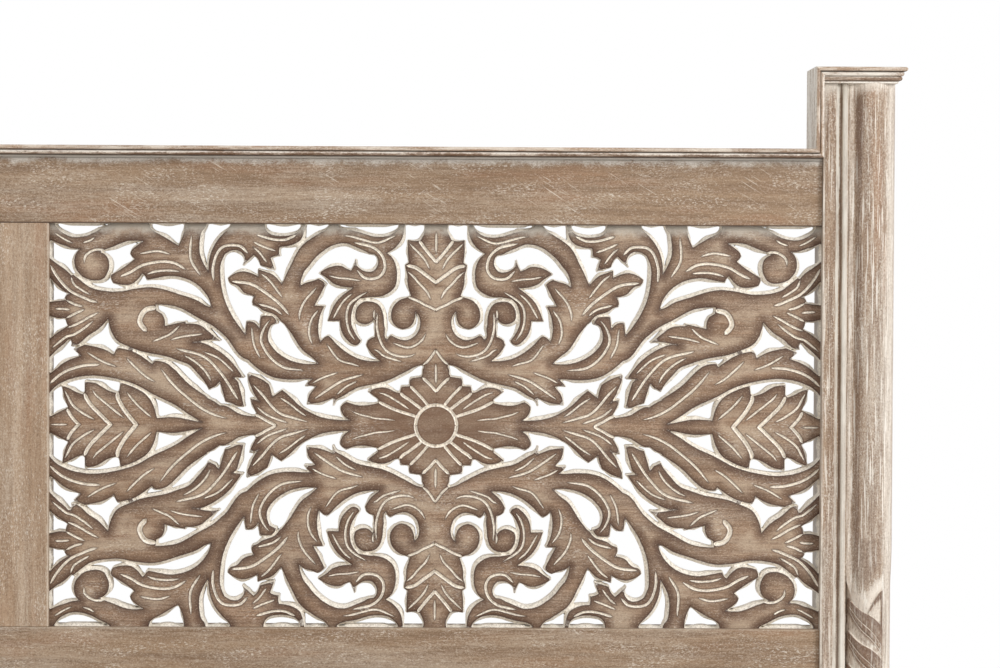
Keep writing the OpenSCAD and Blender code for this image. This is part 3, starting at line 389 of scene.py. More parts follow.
def shaft_radius(a):
    """Radius of the plain shaft over the angle: round, with a flat, sagging hollow beside the post."""
    hollow = np.clip((a - HOLLOW_AT) / (WALL_AT - HOLLOW_AT), 0, 1)
    first = np.array([sin(HOLLOW_AT), -cos(HOLLOW_AT)]) * COLUMN_R
    wall = np.array([-COLUMN_R, COLUMN_R / np.tan(WALL_AT)])
    normal = np.array([wall[1] - first[1], first[0] - wall[0]])
    facing = np.abs(np.sin(a) * normal[0] - np.cos(a) * normal[1])
    chord = np.abs(first @ normal) / np.maximum(facing, 1e-3)
    radius = np.where(a > HOLLOW_AT, COLUMN_R, chord - HOLLOW_SAG * np.sin(pi * hollow))
    beside = COLUMN_R / np.maximum(np.sin(np.abs(a)), 0.5)
    return np.where(a < -pi / 2, COLUMN_R, np.where(a < WALL_AT, beside, radius))


def column_surface(low, high, leaf_top):
    """Rings of a column from the bottom up: height, radius, wash and shade over the angle, which runs from
    the post, 0 at the front. The wash on the outer side is partly painted light, and the shade is painted
    shadow under each leaf's lip besides stain. The rings of a leaf follow its upper edge, which falls from
    the tip in a long S, so that edges and veins lie on rings; t runs from 0 at that edge to 1 at the next
    leaf."""
    back = pi - np.arccos(COLUMN_BACK / COLUMN_R)
    a = np.unique(np.concatenate([
        np.linspace(-back, TIP_AT, 15), np.linspace(TIP_AT, STRIP_AT, 46),
        [STRIP_AT - 0.03, STRIP_AT + 0.03], np.linspace(STRIP_AT, back, 22)
    ]))
    v = np.clip((np.sin(a) - sin(TIP_AT)) / (sin(STRIP_AT) - sin(TIP_AT)), 0, 1)
    drop = np.where(a < TIP_AT, 70 * (TIP_AT - a), LEAF_DROP * v + 2.0 * np.sin(2 * pi * v))
    tip = leaf_top - FIRST_TIP
    edge = tip - drop
    on_leaf = 1 - ease(a, STRIP_AT - 0.04, STRIP_AT + 0.02)
    veined = ease(v, 0.0, 0.07) * (1 - ease(v, 0.90, 0.99))
    first_vein, second_vein = 0.20 + 0.36 * v + 0.06 * v**4, 0.28 + 0.52 * v**0.6
    # Painted light: the outer side of the column, towards the key lamp, is painted paler, partly as wash
    # and partly as painted light.
    pale_side = ease(a, radians(8), radians(50)) * (1 - 0.75 * ease(a, radians(60), radians(84)))
    wash_and_side_light = 0.5 * ease(-a, radians(44), radians(54)) + 0.64 * pale_side
    rings = []

    def ring(z, depth, wash, shade):
        """Adds a ring; the carving runs out into the plain round foot."""
        run_out = ease(z, low + PLAIN_FOOT, low + PLAIN_FOOT + 4)
        z = np.maximum(z, low + PLAIN_FOOT)
        rings.append([z, COLUMN_R - depth * run_out, wash * np.ones_like(a), shade * run_out])

    def vein_rings(centre, depth):
        """Rings of a vein: its two sides, and between them a groove that holds the wash."""
        side, groove = (depth, 0.0, 0.75), (depth + VEIN_CUT * veined, veined, 0.0)
        return [(centre + VEIN_HALF, *side), (centre, *groove), (centre - VEIN_HALF, *side)]

    # One leaf above the other, from the foot up
    leaf = [(second_vein + (1 - second_vein) * share, *rest) for share, *rest in BLADE]
    leaf += vein_rings(second_vein, 0.95) + [((first_vein + second_vein) / 2, 0.55, 0.05, 0.5)]
    leaf += vein_rings(first_vein, 0.45) + [(first_vein * 0.55, 0.1, 0.05, 0.6)] + LIP
    for row in range(int((leaf_top - low) / LEAF_PITCH) + 1, -1, -1):
        for t, depth, pale, brown in leaf:
            depth = depth * on_leaf + STRIP_DEEP * (1 - on_leaf)
            wash = np.maximum(pale * on_leaf, wash_and_side_light * (1 - on_leaf))
            ring(edge - (row + t) * LEAF_PITCH, depth, wash, brown * on_leaf)

    # The upper side of the topmost leaf, up to its own tip
    back_share = np.clip((TOP_TIP_AT - a) / (TOP_TIP_AT - NOTCH_AT), 0, 1)
    up_edge = leaf_top - TOP_TIP_DROP * back_share**1.6
    in_top = ease(a, NOTCH_AT, NOTCH_AT + 0.05) * (a <= TOP_TIP_AT + 1e-6)
    upper = np.where((a >= NOTCH_AT) & (a <= STRIP_AT), np.maximum(edge, up_edge), edge)
    rim = ease(a, radians(27), radians(31))
    for s in (0.0, 0.15, 0.4, 0.65, 0.85, 1.0):
        depth = (LEAF_DEEP * (1 - s) * (1 - 0.8 * rim) + 0.35 * s) * in_top + LEAF_DEEP * (1 - in_top)
        depth = depth * on_leaf + STRIP_DEEP * (1 - on_leaf)
        dark = np.maximum(ease(s, 0.6, 0.9), rim) * in_top
        wash = np.maximum((0.75 - 0.35 * s) * (1 - dark) * on_leaf, wash_and_side_light * (1 - on_leaf))
        ring(edge + s * (upper - edge), depth, wash, dark * on_leaf)

    # The lower end of the shaft, which sinks in a point between two tips
    around = np.where(a > POINT_AT, 20 * (a - POINT_AT), 30 * (POINT_AT - a))
    ring_top = leaf_top + SHAFT_RUN
    point = tip + POINT_UP + around
    beside_post = COLUMN_R - shaft_radius(a)
    brown_side = 0.5 * ease(a, radians(-52), radians(-40)) * (1 - pale_side)
    for s in np.linspace(0, 1, 22):
        z = upper + s * (ring_top - upper)
        sunk = np.clip(1 - (z - upper) / np.maximum(point + 8 - upper, 6), 0, 1) ** 1.4
        strip = STRIP_DEEP * (1 - ease(z, leaf_top - 5, ring_top - 5))
        depth = SHAFT_SINK * sunk * on_leaf + strip * (1 - on_leaf)
        depth = depth + (beside_post - depth * (beside_post > 0)) * ease(z, tip, tip + 18)
        wash = np.maximum(ease(point - z, -14, 10) * (0.5 + 0.5 * sunk) * on_leaf, wash_and_side_light)
        ring(z, depth, wash, ease(z, point, point + 12) * brown_side)

    # The plain shaft up to the cap, and the plain foot
    stain = np.exp(-(((a - radians(-36)) / radians(12)) ** 2))
    for z in np.linspace(ring_top, high, int((high - ring_top) / 9) + 2)[1:]:
        under_cap = ease(high - z, 15, 2) * 0.8
        shade = stain * (0.55 + 0.45 * ease(z, high - 110, high - 50)) * (1 - under_cap)
        ring(np.full_like(a, z), beside_post, np.maximum(wash_and_side_light, under_cap), shade)
    foot = [
        [np.full_like(a, z), np.full_like(a, COLUMN_R), wash_and_side_light, 0 * a]
        for z in (low, low + PLAIN_FOOT - 0.2)
    ]
    z, radius, wash, shade = np.stack(foot + rings, axis=1)
    return np.broadcast_to(a, z.shape), z, radius, wash, shade


def carved_piece(name, points, faces, layers, merge, sharp, turn_out):
    """A mesh of points in mm and faces, with values of its points. Its doubled points are merged, and it
    is shaded smooth up to a sharp angle."""
    mesh = bpy.data.meshes.new(name)
    mesh.from_pydata((points * MM).tolist(), [], faces)
    for label, values in layers.items():
        layer = mesh.attributes.new(label, "FLOAT", "POINT")
        layer.data.foreach_set("value", values.ravel().astype(np.float32))
    shape = bmesh.new()
    shape.from_mesh(mesh)
    bmesh.ops.remove_doubles(shape, verts=shape.verts, dist=merge * MM)
    if turn_out:
        bmesh.ops.recalc_face_normals(shape, faces=shape.faces)
    shape.to_mesh(mesh)
    shape.free()
    mesh.shade_smooth()
    mesh.set_sharp_from_angle(angle=sharp)
    return mesh


def carved_column(node, leaf_length, material):
    """The skin of a column: its radius over angle and height, closed by the flat back and both ends."""
    low, high = corners(node)
    side = 1 if low[0] > 0 else -1
    axis_x = side * (max(abs(low[0]), abs(high[0])) - COLUMN_R)
    axis_y = low[1] + COLUMN_R
    a, z, radius, wash, shade = column_surface(low[2], high[2], low[2] + PLAIN_FOOT + leaf_length)
    rows, count = a.shape
    x = axis_x + side * radius * np.sin(a)
    y = np.minimum(axis_y - radius * np.cos(a), axis_y + COLUMN_BACK)
    points = np.stack([x, y, z], 2).reshape(-1, 3)
    index = np.arange(rows * count).reshape(rows, count)
    beside = np.roll(index, -1, 1)
    quads = np.stack([index[:-1], beside[:-1], beside[1:], index[1:]], 2).reshape(-1, 4)
    faces = quads.tolist() + [index[0][::-1].tolist(), index[-1].tolist()]
    faces = [face[::side] for face in faces]
    name, layers = node + "_carved", {"wash": wash, "shade": shade}
    mesh = carved_piece(name, points, faces, layers, 0.02, radians(40), turn_out=False)
    add_piece(name, mesh, material, node)


def column_wood():
    """The wood of the posts, with the wash and the dark brown laid where the carving holds them: the wash
    is partly painted light on the outer side, and the brown is stain and, under each leaf's lip, painted
    shadow.
    """
    material, shader, place = new_material("column_wood")
    brown, dark, light = linear(166, 140, 116), linear(126, 100, 78), linear(188, 166, 142)
    colour, height, haze, fibre = washed_wood(place, 2, brown, dark, light, WASH, 0.5)
    streak = place.scaled(2, 0.06).noise(2.0, 4.0, 0.75)
    mottle = place.noise(3, 4.0, 0.75)
    shade, wash = place.attribute("shade"), place.attribute("wash")
    grit = place.scaled(2, 0.6).noise(1.2, 3.0, 0.9)
    # Stain on the leaf blades, and painted shadow under each leaf's lip.
    stain_and_shadow = (shade * 1.3 + (mottle - 0.5) * 1.0 + (streak - 0.5) * 0.8).step(0.25, 1.15)
    colour = colour.over(linear(96, 68, 50), stain_and_shadow * 0.8)
    # The wash, which on the outer side of the column is partly painted light.
    pale = (wash * 1.3 + (mottle - 0.5) * 1.1 + (streak - 0.5) * 0.9).step(0.2, 1.1)
    colour = colour.over(linear(229, 219, 206), pale * 0.85)
    thread = place.scaled(2, 0.03).noise(1.5, 1.5, 0.6)
    broad = place.scaled(2, 0.05).noise(5, 2.0, 0.6)
    stains = (thread * 0.6 + broad * 0.4).step(0.45, 0.37)
    colour = colour.over(linear(112, 86, 66), stains * (0.54 - wash * 0.3))
    rubbed_in = (thread * 0.7 + streak * 0.3).step(0.54, 0.62)
    colour = colour.over(linear(236, 230, 220), rubbed_in * (0.78 - shade * 0.55))
    colour = colour.over(linear(218, 207, 192), grit.step(0.54, 0.68) * 0.45)
    colour = colour.over(linear(104, 80, 62), grit.step(0.44, 0.30) * 0.55)
    finish_material(shader, colour, 0.6 - haze * 0.06 + fibre * 0.1, height + mottle * 0.12)
    return material


columns_wood = column_wood()
for node in COLUMNS:
    carved_column(node, LEAVES_HEAD if node.startswith("head") else LEAVES_FOOT, columns_wood)

# Mouldings
# A board with a nose of two rolls lies on the rails, turns up along the posts and ends as the cap of each
# post, mitred at every turn and pinned from above. The quirks between the rolls are painted dark, as brown
# stain and as painted shade, and their crests are rubbed pale.
RAIL_CAPS = ["head_rail_cap", "foot_rail_cap"]
CAPS = ["head_cap_left", "head_cap_right", "foot_cap_left", "foot_cap_right"]
RISERS = ["head_riser_left", "head_riser_right", "foot_riser_left", "foot_riser_right"]
ROLL_ARRIS = 0.3


def moulding_wood(name, along, over, quirks, stains, wash_and_light_bands):
    """Washed wood of a moulding. Its quirks, painted dark as shade with some stain, and lines of brown and
    of pale run along it, at places over its height or width counted in mm from its middle, each with a
    strength. The brown lines are stain, except the one on the underside of the rail cap's lower roll, which
    is painted shade; the pale lines are wash, partly painted light on the upper half of that roll and on
    the riser's inner side."""
    material, shader, place = new_material(name)
    brown, dark, light = linear(178, 150, 124), linear(138, 109, 85), linear(202, 179, 156)
    colour, height, haze, fibre = washed_wood(place, along, brown, dark, light, WASH, 0.5)
    middle = place.measure("centre").part(over).math("ABSOLUTE")
    across = place.part(over).math("ABSOLUTE") - middle
    blot = place.scaled(along, 0.15).noise(7, 4.0, 0.7)
    crumb = place.scaled(along, 0.5).noise(1.4, 3.0, 0.8)
    shaken = across + (crumb - 0.5) * 1.2
    colour = colour.over(linear(228, 219, 205), blot.step(0.44, 0.62) * 0.65)
    for low, high, strength in stains:
        worn = (blot * 0.6 + crumb * 0.4).step(0.60, 0.42)
        colour = colour.over(linear(104, 78, 58), band(shaken, low, high) * worn * strength)
    for low, high, strength in wash_and_light_bands:
        laid = (blot * 0.5 + crumb * 0.5).step(0.38, 0.56)
        colour = colour.over(linear(238, 233, 223), band(shaken, low, high) * laid * strength)
    # Painted shade in each quirk between rolls, with some brown stain.
    for at, strength in quirks:
        line = (across - at).math("ABSOLUTE").step(0.8, 0.25)
        colour = colour.over(linear(82, 60, 44), line * (0.65 + crumb * 0.5) * strength)
    finish_material(shader, colour, 0.58 - haze * 0.06 + fibre * 0.1, height + crumb * 0.1)
    return material


# Rail cap: the lower roll is painted pale on its upper half, a painted highlight, and brown on its lower
# half, a painted shade.
rail_moulding = moulding_wood(
    "rail_moulding_wood", 0, 2, [(0.15, 0.8), (-4.2, 0.9)], [(-3.9, -2.0, 0.95)], [(-1.9, -0.2, 0.75)]
)
cap_moulding = moulding_wood(
    "cap_moulding_wood", 0, 2, [(-5.3, 0.8), (-1.1, 0.3), (3.3, 0.85)], [(-4.9, -2.2, 0.8)],
    [(-2.0, 2.8, 0.6), (-8.0, -5.9, 0.9)]
)
# Riser: the band from -6.0 to -3.7 paints its inner side face pale, as wash and as painted light on that
# face.
riser_moulding = moulding_wood(
    "riser_moulding_wood", 2, 0, [(-0.15, 0.45), (4.2, 0.4)], [(-2.6, -0.2, 0.5)],
    [(-6.0, -3.7, 1.0), (2.2, 4.6, 0.7)]
)
for nodes, wood in [(RAIL_CAPS, rail_moulding), (CAPS, cap_moulding), (RISERS, riser_moulding)]:
    for node in nodes:
        dressed(node, wood, ROLL_ARRIS)

# Carved panels
# Two boards, pierced with a saw and carved with a knife: scrolls and leaves grow from a rosette in the
# middle. The sloped edges and the veins still hold the white wash, and the flat faces are rubbed brown.
CARD = np.array([385.0, 200.0])
TONGUE, BOARD_T = 8.0, 18.0
CORNER_TURN = radians(33)
OUTLINE_STEP, VEIN_STEP, GRID_STEP, BORDER_STEP = 1.9, 2.2, 1.5, 4
FILL_STEP, FINE_STEP, ROW_STEP, INSET = 3.7, 1.9, 0.866, 0.8
CLEAR, BAND = 1.5, 2.2
RIM, BED_LINE, SLOPE = 2.15, 1.0, 2.1
PILLOW, PILLOW_W = 0.55, 2.6
LEAF_SPREAD, STEM_SPREAD, STEM_FROM = 0.42, 1.35, 10.0
VEIN_DEPTH, VEIN_SHARE, BOLD_VEIN, NO_VEIN = 0.72, 0.41, 2.8, -9.0
TAPER, BOLD_TAPER, OVERRUN, BESIDE_VEIN, NEAR_RIM = 5.5, 12.0, 0.3, 0.6, 1.6
SWAY, DIP = 0.7, 0.15
AT_ONCE = 2000
# Each stroke of the knife in one quarter of the panel: its width in mm, then its path on the card
VEINS = [
    (3.4, (-3, 33), (0, 34.5), (5, 40), (13.8, 48.3)), (3.3, (7.6, 19.4), (15, 28.3), (26.2, 39.8)),
    (3.6, (13.8, 15.8), (28.3, 26.7), (33.3, 30), (36.5, 34)),
    (2.2, (26.3, 15.8), (40, 25), (52.5, 31.7), (57.5, 32.9)),
    (3.6, (18.6, 8.4), (45, 17.5), (58.5, 24.3)),
    (1.9, (40.8, 5), (50, 6.3), (60, 7.1), (68.3, 9.2), (76.7, 11.3), (83.8, 14.2)),
    (2.4, (0, 62), (0, 52), (0, 42)), (2.6, (-1, 77), (10, 63), (13.5, 60.5)),
    (2.2, (0, 172), (0, 182), (0, 193)), (1.9, (367, 0), (375, 0), (384, 0)),
    (2.3, (10, 92.5), (12.5, 87.5), (27.5, 78.5), (38.3, 81.3), (43.3, 83.2)),
    (2.6, (58.2, 113), (58.8, 98.3), (48.3, 74.2), (24.2, 70.4), (20.4, 72.1)),
    (2.1, (34.2, 64.2), (41.7, 66.3), (54.2, 71.3), (58.3, 75), (62, 76.3)),
    (2.1, (76.3, 59.3), (83.3, 61.7), (95, 65), (109.2, 81.7)),
    (2.6, (72.5, 51.3), (95.8, 43.8), (102.5, 39.6), (121.3, 26.7)),
    (2, (78.8, 44.6), (90, 38.8), (99.2, 30.8)), (2, (98.3, 53.2), (116.7, 46.3), (123.3, 42.5)),
    (2.4, (80.4, 85), (86.3, 94.2), (85, 122.5), (80, 126.7), (68.3, 133.8)),
    (2.1, (102.9, 106.7), (90, 126.7), (83.3, 132.1)), (2, (61.2, 116), (61.8, 112), (61.5, 107)),
    (2.8, (-2, 115), (5, 118.8), (10, 120.8), (16.7, 124.6), (28, 129)),
    (4, (-2, 142), (10, 150.8), (22.5, 158.8), (30, 160)),
    (3.6, (-2, 161.5), (9.2, 174.2), (17.6, 185)), (2.3, (6.3, 156.3), (9.2, 162.5), (27, 182)),
    (2.4, (5, 126.7), (8.3, 133.3), (17.5, 143.3), (22.5, 149.2), (28.8, 154.2)),
    (2.4, (40.4, 189.2), (60, 182.1), (73.3, 185), (86.7, 188.3), (92.1, 188.8)),
    (3, (82.1, 182.1), (70, 179.6), (65, 178.4), (52.5, 166.7), (51.7, 155), (55, 150),
     (70.8, 147.5), (79.2, 155.4)), (1.9, (75, 144.6), (88.3, 146.7), (95.8, 147.1), (106.7, 149.2)),
    (2.3, (118.8, 137.9), (133, 120.1), (136.2, 109.3), (136, 105)),
    (2.3, (117.1, 115.8), (124.2, 105.8), (126.3, 89.7), (123.4, 81.2)),
    (2.7, (131.7, 55.2), (153.2, 58.8), (172.1, 78.1), (174.3, 83.5), (169.8, 99.6), (165, 105.5)),
    (2.1, (175.2, 67.3), (181, 79), (183.9, 97.5)),
    (2.1, (129, 9.4), (134.4, 13), (147.8, 23.3), (155.9, 28.3)),
    (2.7, (127.2, 3.6), (144.2, 8.5), (153.2, 11.2), (165.8, 22), (170.3, 27.8), (182.4, 40.8)),
    (2.3, (147.4, 2.7), (169.4, 11.6), (177.9, 18.4)),
    (3.2, (158, -1), (162.2, 1.8), (168.5, 4.9), (173.9, 8.2), (180.5, 11)),
    (2.1, (201.2, 52.9), (217.8, 67.3), (231.3, 72.7)),
    (2.8, (196.8, 25.6), (215.2, 52.9), (228.6, 66.4), (258.7, 75.8)),
    (2.3, (223.7, 43.1), (226.8, 49.3), (243.9, 65.5), (251.1, 69.1)),
    (2.1, (232.2, 90.6), (256.9, 86.8), (264.7, 84.4)),
    (2.3, (255.2, 98.9), (266.4, 89.4), (273.4, 86.4), (282.9, 82.5)),
    (5.6, (279, 116.8), (290, 113.8), (295.5, 102.5), (288.5, 92.5)),
    (2.7, (208, 7.1), (215.2, 8.9), (236.7, 19.3), (243, 24.2), (263, 41.8), (274.2, 55.7)),
    (2.3, (279.9, 42.7), (286.3, 46.2), (300.2, 57.8), (308.4, 66.1)),
    (2.1, (318.4, 57.4), (332.2, 62.6), (347.8, 71.7)),
    (3, (334.8, 59.6), (352.1, 58.3), (374.6, 49.6), (385, 40.5)),
    (2.3, (282.9, 7.2), (300.2, 22.8), (308, 32.3)),
    (2.3, (310.6, 6.5), (333.1, 24.5), (338.3, 28.8), (342.2, 34)),
    (2.5, (340, 4.8), (352.1, 11.5), (363.4, 21.1), (366.4, 27.1), (370.2, 34)),
    (4.6, (296, -3), (314.2, 21), (317, 27), (317, 33)),
    (4.2, (321, -3), (331.5, 7), (349, 27.5), (350.6, 32)),
    (3.6, (353.5, -3), (365.5, 11.2), (368, 16.5)), (2.3, (264.7, 169.7), (275.1, 172.7), (295, 170.4)),
    (3, (249, 154.5), (259.5, 160.6), (286.3, 160.6), (293.3, 158.5), (304.5, 152), (314.9, 147.6)),
    (2.4, (255.2, 152.6), (267.3, 153.7), (281.2, 152.2), (288.1, 149.8)),
    (2.6, (234.5, 148.4), (243.9, 164.1), (243.7, 188.3)),
    (3, (186.9, 170.4), (195.4, 178), (200.8, 178.8), (211.6, 177.4), (221.9, 157.8), (221.6, 143.4)),
    (2.8, (139.3, 189.2), (151.4, 184.3), (158.6, 184.3), (178.8, 189.2)),
    (2.3, (159.5, 173.1), (172.1, 177.6), (181.9, 182)),
    (2.1, (168, 161.4), (178.3, 174), (182.4, 177.1)),
    (2.3, (152.8, 127.3), (170.3, 147.9), (174.5, 150.8)),
    (3.2, (146.5, 110.2), (151.4, 116.5), (169.4, 131.8), (182.8, 139.9), (203.5, 143)),
    (2.4, (153.2, 110.2), (158.6, 114.7), (177.5, 121)),
    (2.3, (345.2, 129.5), (355.6, 135.5), (360.8, 139.4), (364.3, 147.6)),
    (3, (337.4, 121.7), (344.3, 123.4), (351.2, 126.4), (363.4, 132.1), (377.2, 146.3), (384.5, 158.5)),
    (2.6, (352, 117.8), (358, 118.9), (369, 124)), (2.4, (365.1, 114.3), (371.1, 115), (379.8, 115.2)),
    (2.6, (350.4, 114.8), (356.4, 112.2), (369, 105.7)),
    (2.6, (336.5, 111.7), (343.5, 108.3), (358.2, 100), (367.5, 96.3)),
    (2.6, (341.7, 103.3), (352.1, 95), (362.5, 89), (367.7, 87.7), (373.7, 83.4), (383, 75.8)),
    (2, (340, 186.2), (345.2, 183.1), (352, 180.9)), (2, (362.5, 180.5), (367.7, 182.7), (380, 190)),
    (2.7, (326.5, 168), (331, 173.2), (338, 174.3), (345, 171.8), (350, 167), (350.8, 161)),
]
ROSETTE_R, ROSETTE_W = 20.5, 4.0


def outlines_of(node):
    """The closed outlines of the openings in the front of a carved board, as lists of (x, z) in mm.
    They are the edges that only one triangle of the front face has, chained end to end."""
    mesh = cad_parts[node].data
    mesh.calc_loop_triangles()
    points = np.empty(len(mesh.vertices) * 3)
    mesh.vertices.foreach_get("co", points)
    points = np.round(points.reshape(-1, 3) * 1e6).astype(np.int64)
    triangles = np.empty(len(mesh.loop_triangles) * 3, int)
    mesh.loop_triangles.foreach_get("vertices", triangles)
    points, same = np.unique(points, axis=0, return_inverse=True)
    triangles = same.reshape(-1)[triangles].reshape(-1, 3)
    front = (points[:, 1][triangles] <= points[:, 1].min() + 5).all(axis=1)
    sides = triangles[front][:, [0, 1, 1, 2, 2, 0]].reshape(-1, 2)
    key, back = sides @ [len(points), 1], sides[:, ::-1] @ [len(points), 1]
    following = dict(sides[~np.isin(key, back)].tolist())
    outlines = []
    while following:
        chain = [next(iter(following))]
        while chain[-1] in following:
            chain.append(following.pop(chain[-1]))
        outlines.append(points[chain[:-1]][:, [0, 2]] / 1000)
    return outlines


def tangents(before, after):
    """Direction of a smooth curve where a side ends and the next begins, the shorter side counting more."""
    a, b = (np.linalg.norm(v, axis=1, keepdims=True) for v in (before, after))
    return (before / a * b + after / b * a) / (a + b)


def smooth(points, closed, step):
    """A curve through the points: cubic stretches that share their direction at each point, straight at
    sharp corners, cut into parts of about that length. Also the distance of each of its points to the
    nearest sharp corner along the curve."""
    ends = np.roll(points, -1, 0) if closed else points[1:]
    starts = points if closed else points[:-1]
    sides = ends - starts
    lengths = np.linalg.norm(sides, axis=1, keepdims=True)
    last = np.roll(sides, 1, 0) if closed else np.vstack([sides[:1], sides[:-1]])
    after = np.roll(sides, -1, 0) if closed else np.vstack([sides[1:], sides[-1:]])
    leave, arrive = tangents(last, sides) * lengths, tangents(sides, after) * lengths
    unit = sides / lengths
    cosine = (np.roll(unit, 1, 0) * unit).sum(1)
    corner = (cosine < cos(CORNER_TURN))[:, None]
    if not closed:
        corner[:] = False
    corner_after = np.roll(corner, -1, 0)
    ta = np.where(corner, np.where(corner_after, sides, 1.5 * sides - 0.5 * arrive), leave)
    tb = np.where(corner_after, np.where(corner, sides, 1.5 * sides - 0.5 * leave), arrive)
    parts = np.maximum(1, np.round(lengths[:, 0] / step)).astype(int)
    which = np.repeat(np.arange(len(parts)), parts)
    t = ((np.arange(len(which)) - np.repeat(np.cumsum(parts) - parts, parts)) / parts[which])[:, None]
    curve = (
        (2 * t**3 - 3 * t**2 + 1) * starts[which] + (t**3 - 2 * t**2 + t) * ta[which]
        + (3 * t**2 - 2 * t**3) * ends[which] + (t**3 - t**2) * tb[which]
    )
    if not closed:
        return np.vstack([curve, points[-1:]]), None
    run = np.cumsum(np.linalg.norm(np.roll(curve, -1, 0) - curve, axis=1))
    at_corner = corner[which, 0] & (t[:, 0] == 0)
    marks = run[at_corner] if at_corner.any() else np.array([1e6])
    along = np.abs(run[:, None] - marks)
    return curve, np.minimum(along, run[-1] - along).min(axis=1)


def nearest(points, starts, ends, width=(0, 0), spread=(1, 1)):
    """Least distance from each point to the sides, less their half width and divided by their spread.
    Both are given at the start and the end of each side and run evenly between them."""
    best = np.full(len(points), np.inf)
    d = ends - starts
    square = np.maximum((d * d).sum(1), 1e-9)
    for k in range(0, len(points), AT_ONCE):
        x, y = (points[k:k + AT_ONCE, axis, None] - starts[:, axis] for axis in (0, 1))
        t = np.clip((x * d[:, 0] + y * d[:, 1]) / square, 0, 1)
        gap = np.hypot(x - t * d[:, 0], y - t * d[:, 1])
        gap = (gap - width[0] * (1 - t) - width[1] * t) / (spread[0] * (1 - t) + spread[1] * t)
        best[k:k + AT_ONCE] = gap.min(axis=1)
    return best


def is_inside(points, starts, ends):
    """Whether a level line to the right of each point crosses the outlines an odd number of times."""
    odd = np.zeros(len(points), bool)
    for k in range(0, len(points), AT_ONCE):
        x, y = (points[k:k + AT_ONCE, axis, None] for axis in (0, 1))
        spans = (starts[:, 1] > y) != (ends[:, 1] > y)
        rise = np.where(starts[:, 1] == ends[:, 1], 1.0, ends[:, 1] - starts[:, 1])
        cross = starts[:, 0] + (y - starts[:, 1]) / rise * (ends[:, 0] - starts[:, 0])
        odd[k:k + AT_ONCE] = (spans & (x < cross)).sum(1) % 2 == 1
    return odd


def contour(field, level, step):
    """Points and sides of the line where a grid of values passes a level: each crossed grid side holds a
    point, and the points of each grid square are joined."""
    f = field - level
    f[f == 0] = 1e-9
    n, m = f.shape
    i, j = np.nonzero(f[:-1] * f[1:] < 0)
    t = f[i, j] / (f[i, j] - f[i + 1, j])
    along_x = np.column_stack([i + t, j])
    id_x = np.full((n - 1, m), -1)
    id_x[i, j] = np.arange(len(i))
    k, l = np.nonzero(f[:, :-1] * f[:, 1:] < 0)
    t = f[k, l] / (f[k, l] - f[k, l + 1])
    along_y = np.column_stack([k, l + t])
    id_y = np.full((n, m - 1), -1)
    id_y[k, l] = len(i) + np.arange(len(k))
    square = np.stack([id_x[:, :-1], id_y[1:], id_x[:, 1:], id_y[:-1]], axis=2).reshape(-1, 4)
    crossed = (square >= 0).sum(1)
    pairs = np.sort(square[crossed == 2], axis=1)[:, 2:]
    saddles = square[crossed == 4]
    pairs = np.vstack([pairs, saddles[:, [0, 1]], saddles[:, [2, 3]]])
    return np.vstack([along_x, along_y]) * step, pairs


def grid_value(field, step, places):
    """The value of a grid at any places, in a straight line between its points."""
    u = np.clip(places / step, 0, np.array(field.shape) - 1 - 1e-6)
    i, j = u.astype(int).T
    a, b = (u - np.floor(u)).T
    return (
        field[i, j] * (1 - a) * (1 - b) + field[i + 1, j] * a * (1 - b)
        + field[i, j + 1] * (1 - a) * b + field[i + 1, j + 1] * a * b
    )


def chain(n):
    """Sides that join n points in their order."""
    return np.column_stack([np.arange(n - 1), np.arange(1, n)])


def honeycomb(pitch, half):
    """Centres of a honeycomb over the quarter, clear of its border."""
    u, w = np.meshgrid(np.arange(0.5, half[0] / pitch), np.arange(0.5, half[1] / pitch / ROW_STEP))
    u = u + 0.5 * (w.astype(int) % 2) - 0.25
    spots = np.column_stack([u.ravel() * pitch, w.ravel() * pitch * ROW_STEP])
    return spots[(spots > INSET).all(1) & (spots < half - INSET).all(1)]


def meshed(points, sides):
    """Points and triangles of the flat mesh between the points that keeps the given sides."""
    made = delaunay_2d_cdt([Vector(p) for p in points.tolist()], sides.tolist(), [], 0, 1e-4, False)
    return np.array([tuple(p) for p in made[0]]), np.array(made[2])


def at_depth(flat, depth):
    """Points (x, z) of the board set at a depth behind its front."""
    return np.column_stack([flat[:, 0], np.broadcast_to(depth, len(flat)), flat[:, 1]])


def relief(wood, vein):
    """Depth in mm: level on the wood with a soft fall to each outline, a slope down to the rim of an
    opening, and a sharp groove along each vein."""
    fall = PILLOW * np.clip(1 - np.maximum(wood, 0) / PILLOW_W, 0, 1) ** 2
    return fall + SLOPE * np.clip(-wood, 0, RIM) + 2 * VEIN_DEPTH * np.clip(vein, 0, None)


def knife_strokes(card):
    """Path and half width in mm of each stroke of the knife in the quarter. The ring round the rosette
    is even in width, and the others taper off towards both ends."""
    ring = np.linspace(-0.05, pi / 2 + 0.05, 24)
    curves = [(ROSETTE_W, np.column_stack([np.cos(ring), np.sin(ring)]) * ROSETTE_R * card, False)]
    curves += [(v[0], smooth(np.array(v[1:], float) * card, False, VEIN_STEP)[0], True) for v in VEINS]
    strokes = []
    for width, path, tapered in curves:
        run = np.linspace(0, 1, len(path))
        steep = BOLD_TAPER if width >= BOLD_VEIN else TAPER
        taper = np.minimum(1, steep * np.minimum(run, 1 - run)) ** 0.6 if tapered else 1 + 0 * run
        strokes.append((path, width * VEIN_SHARE * taper))
    return strokes


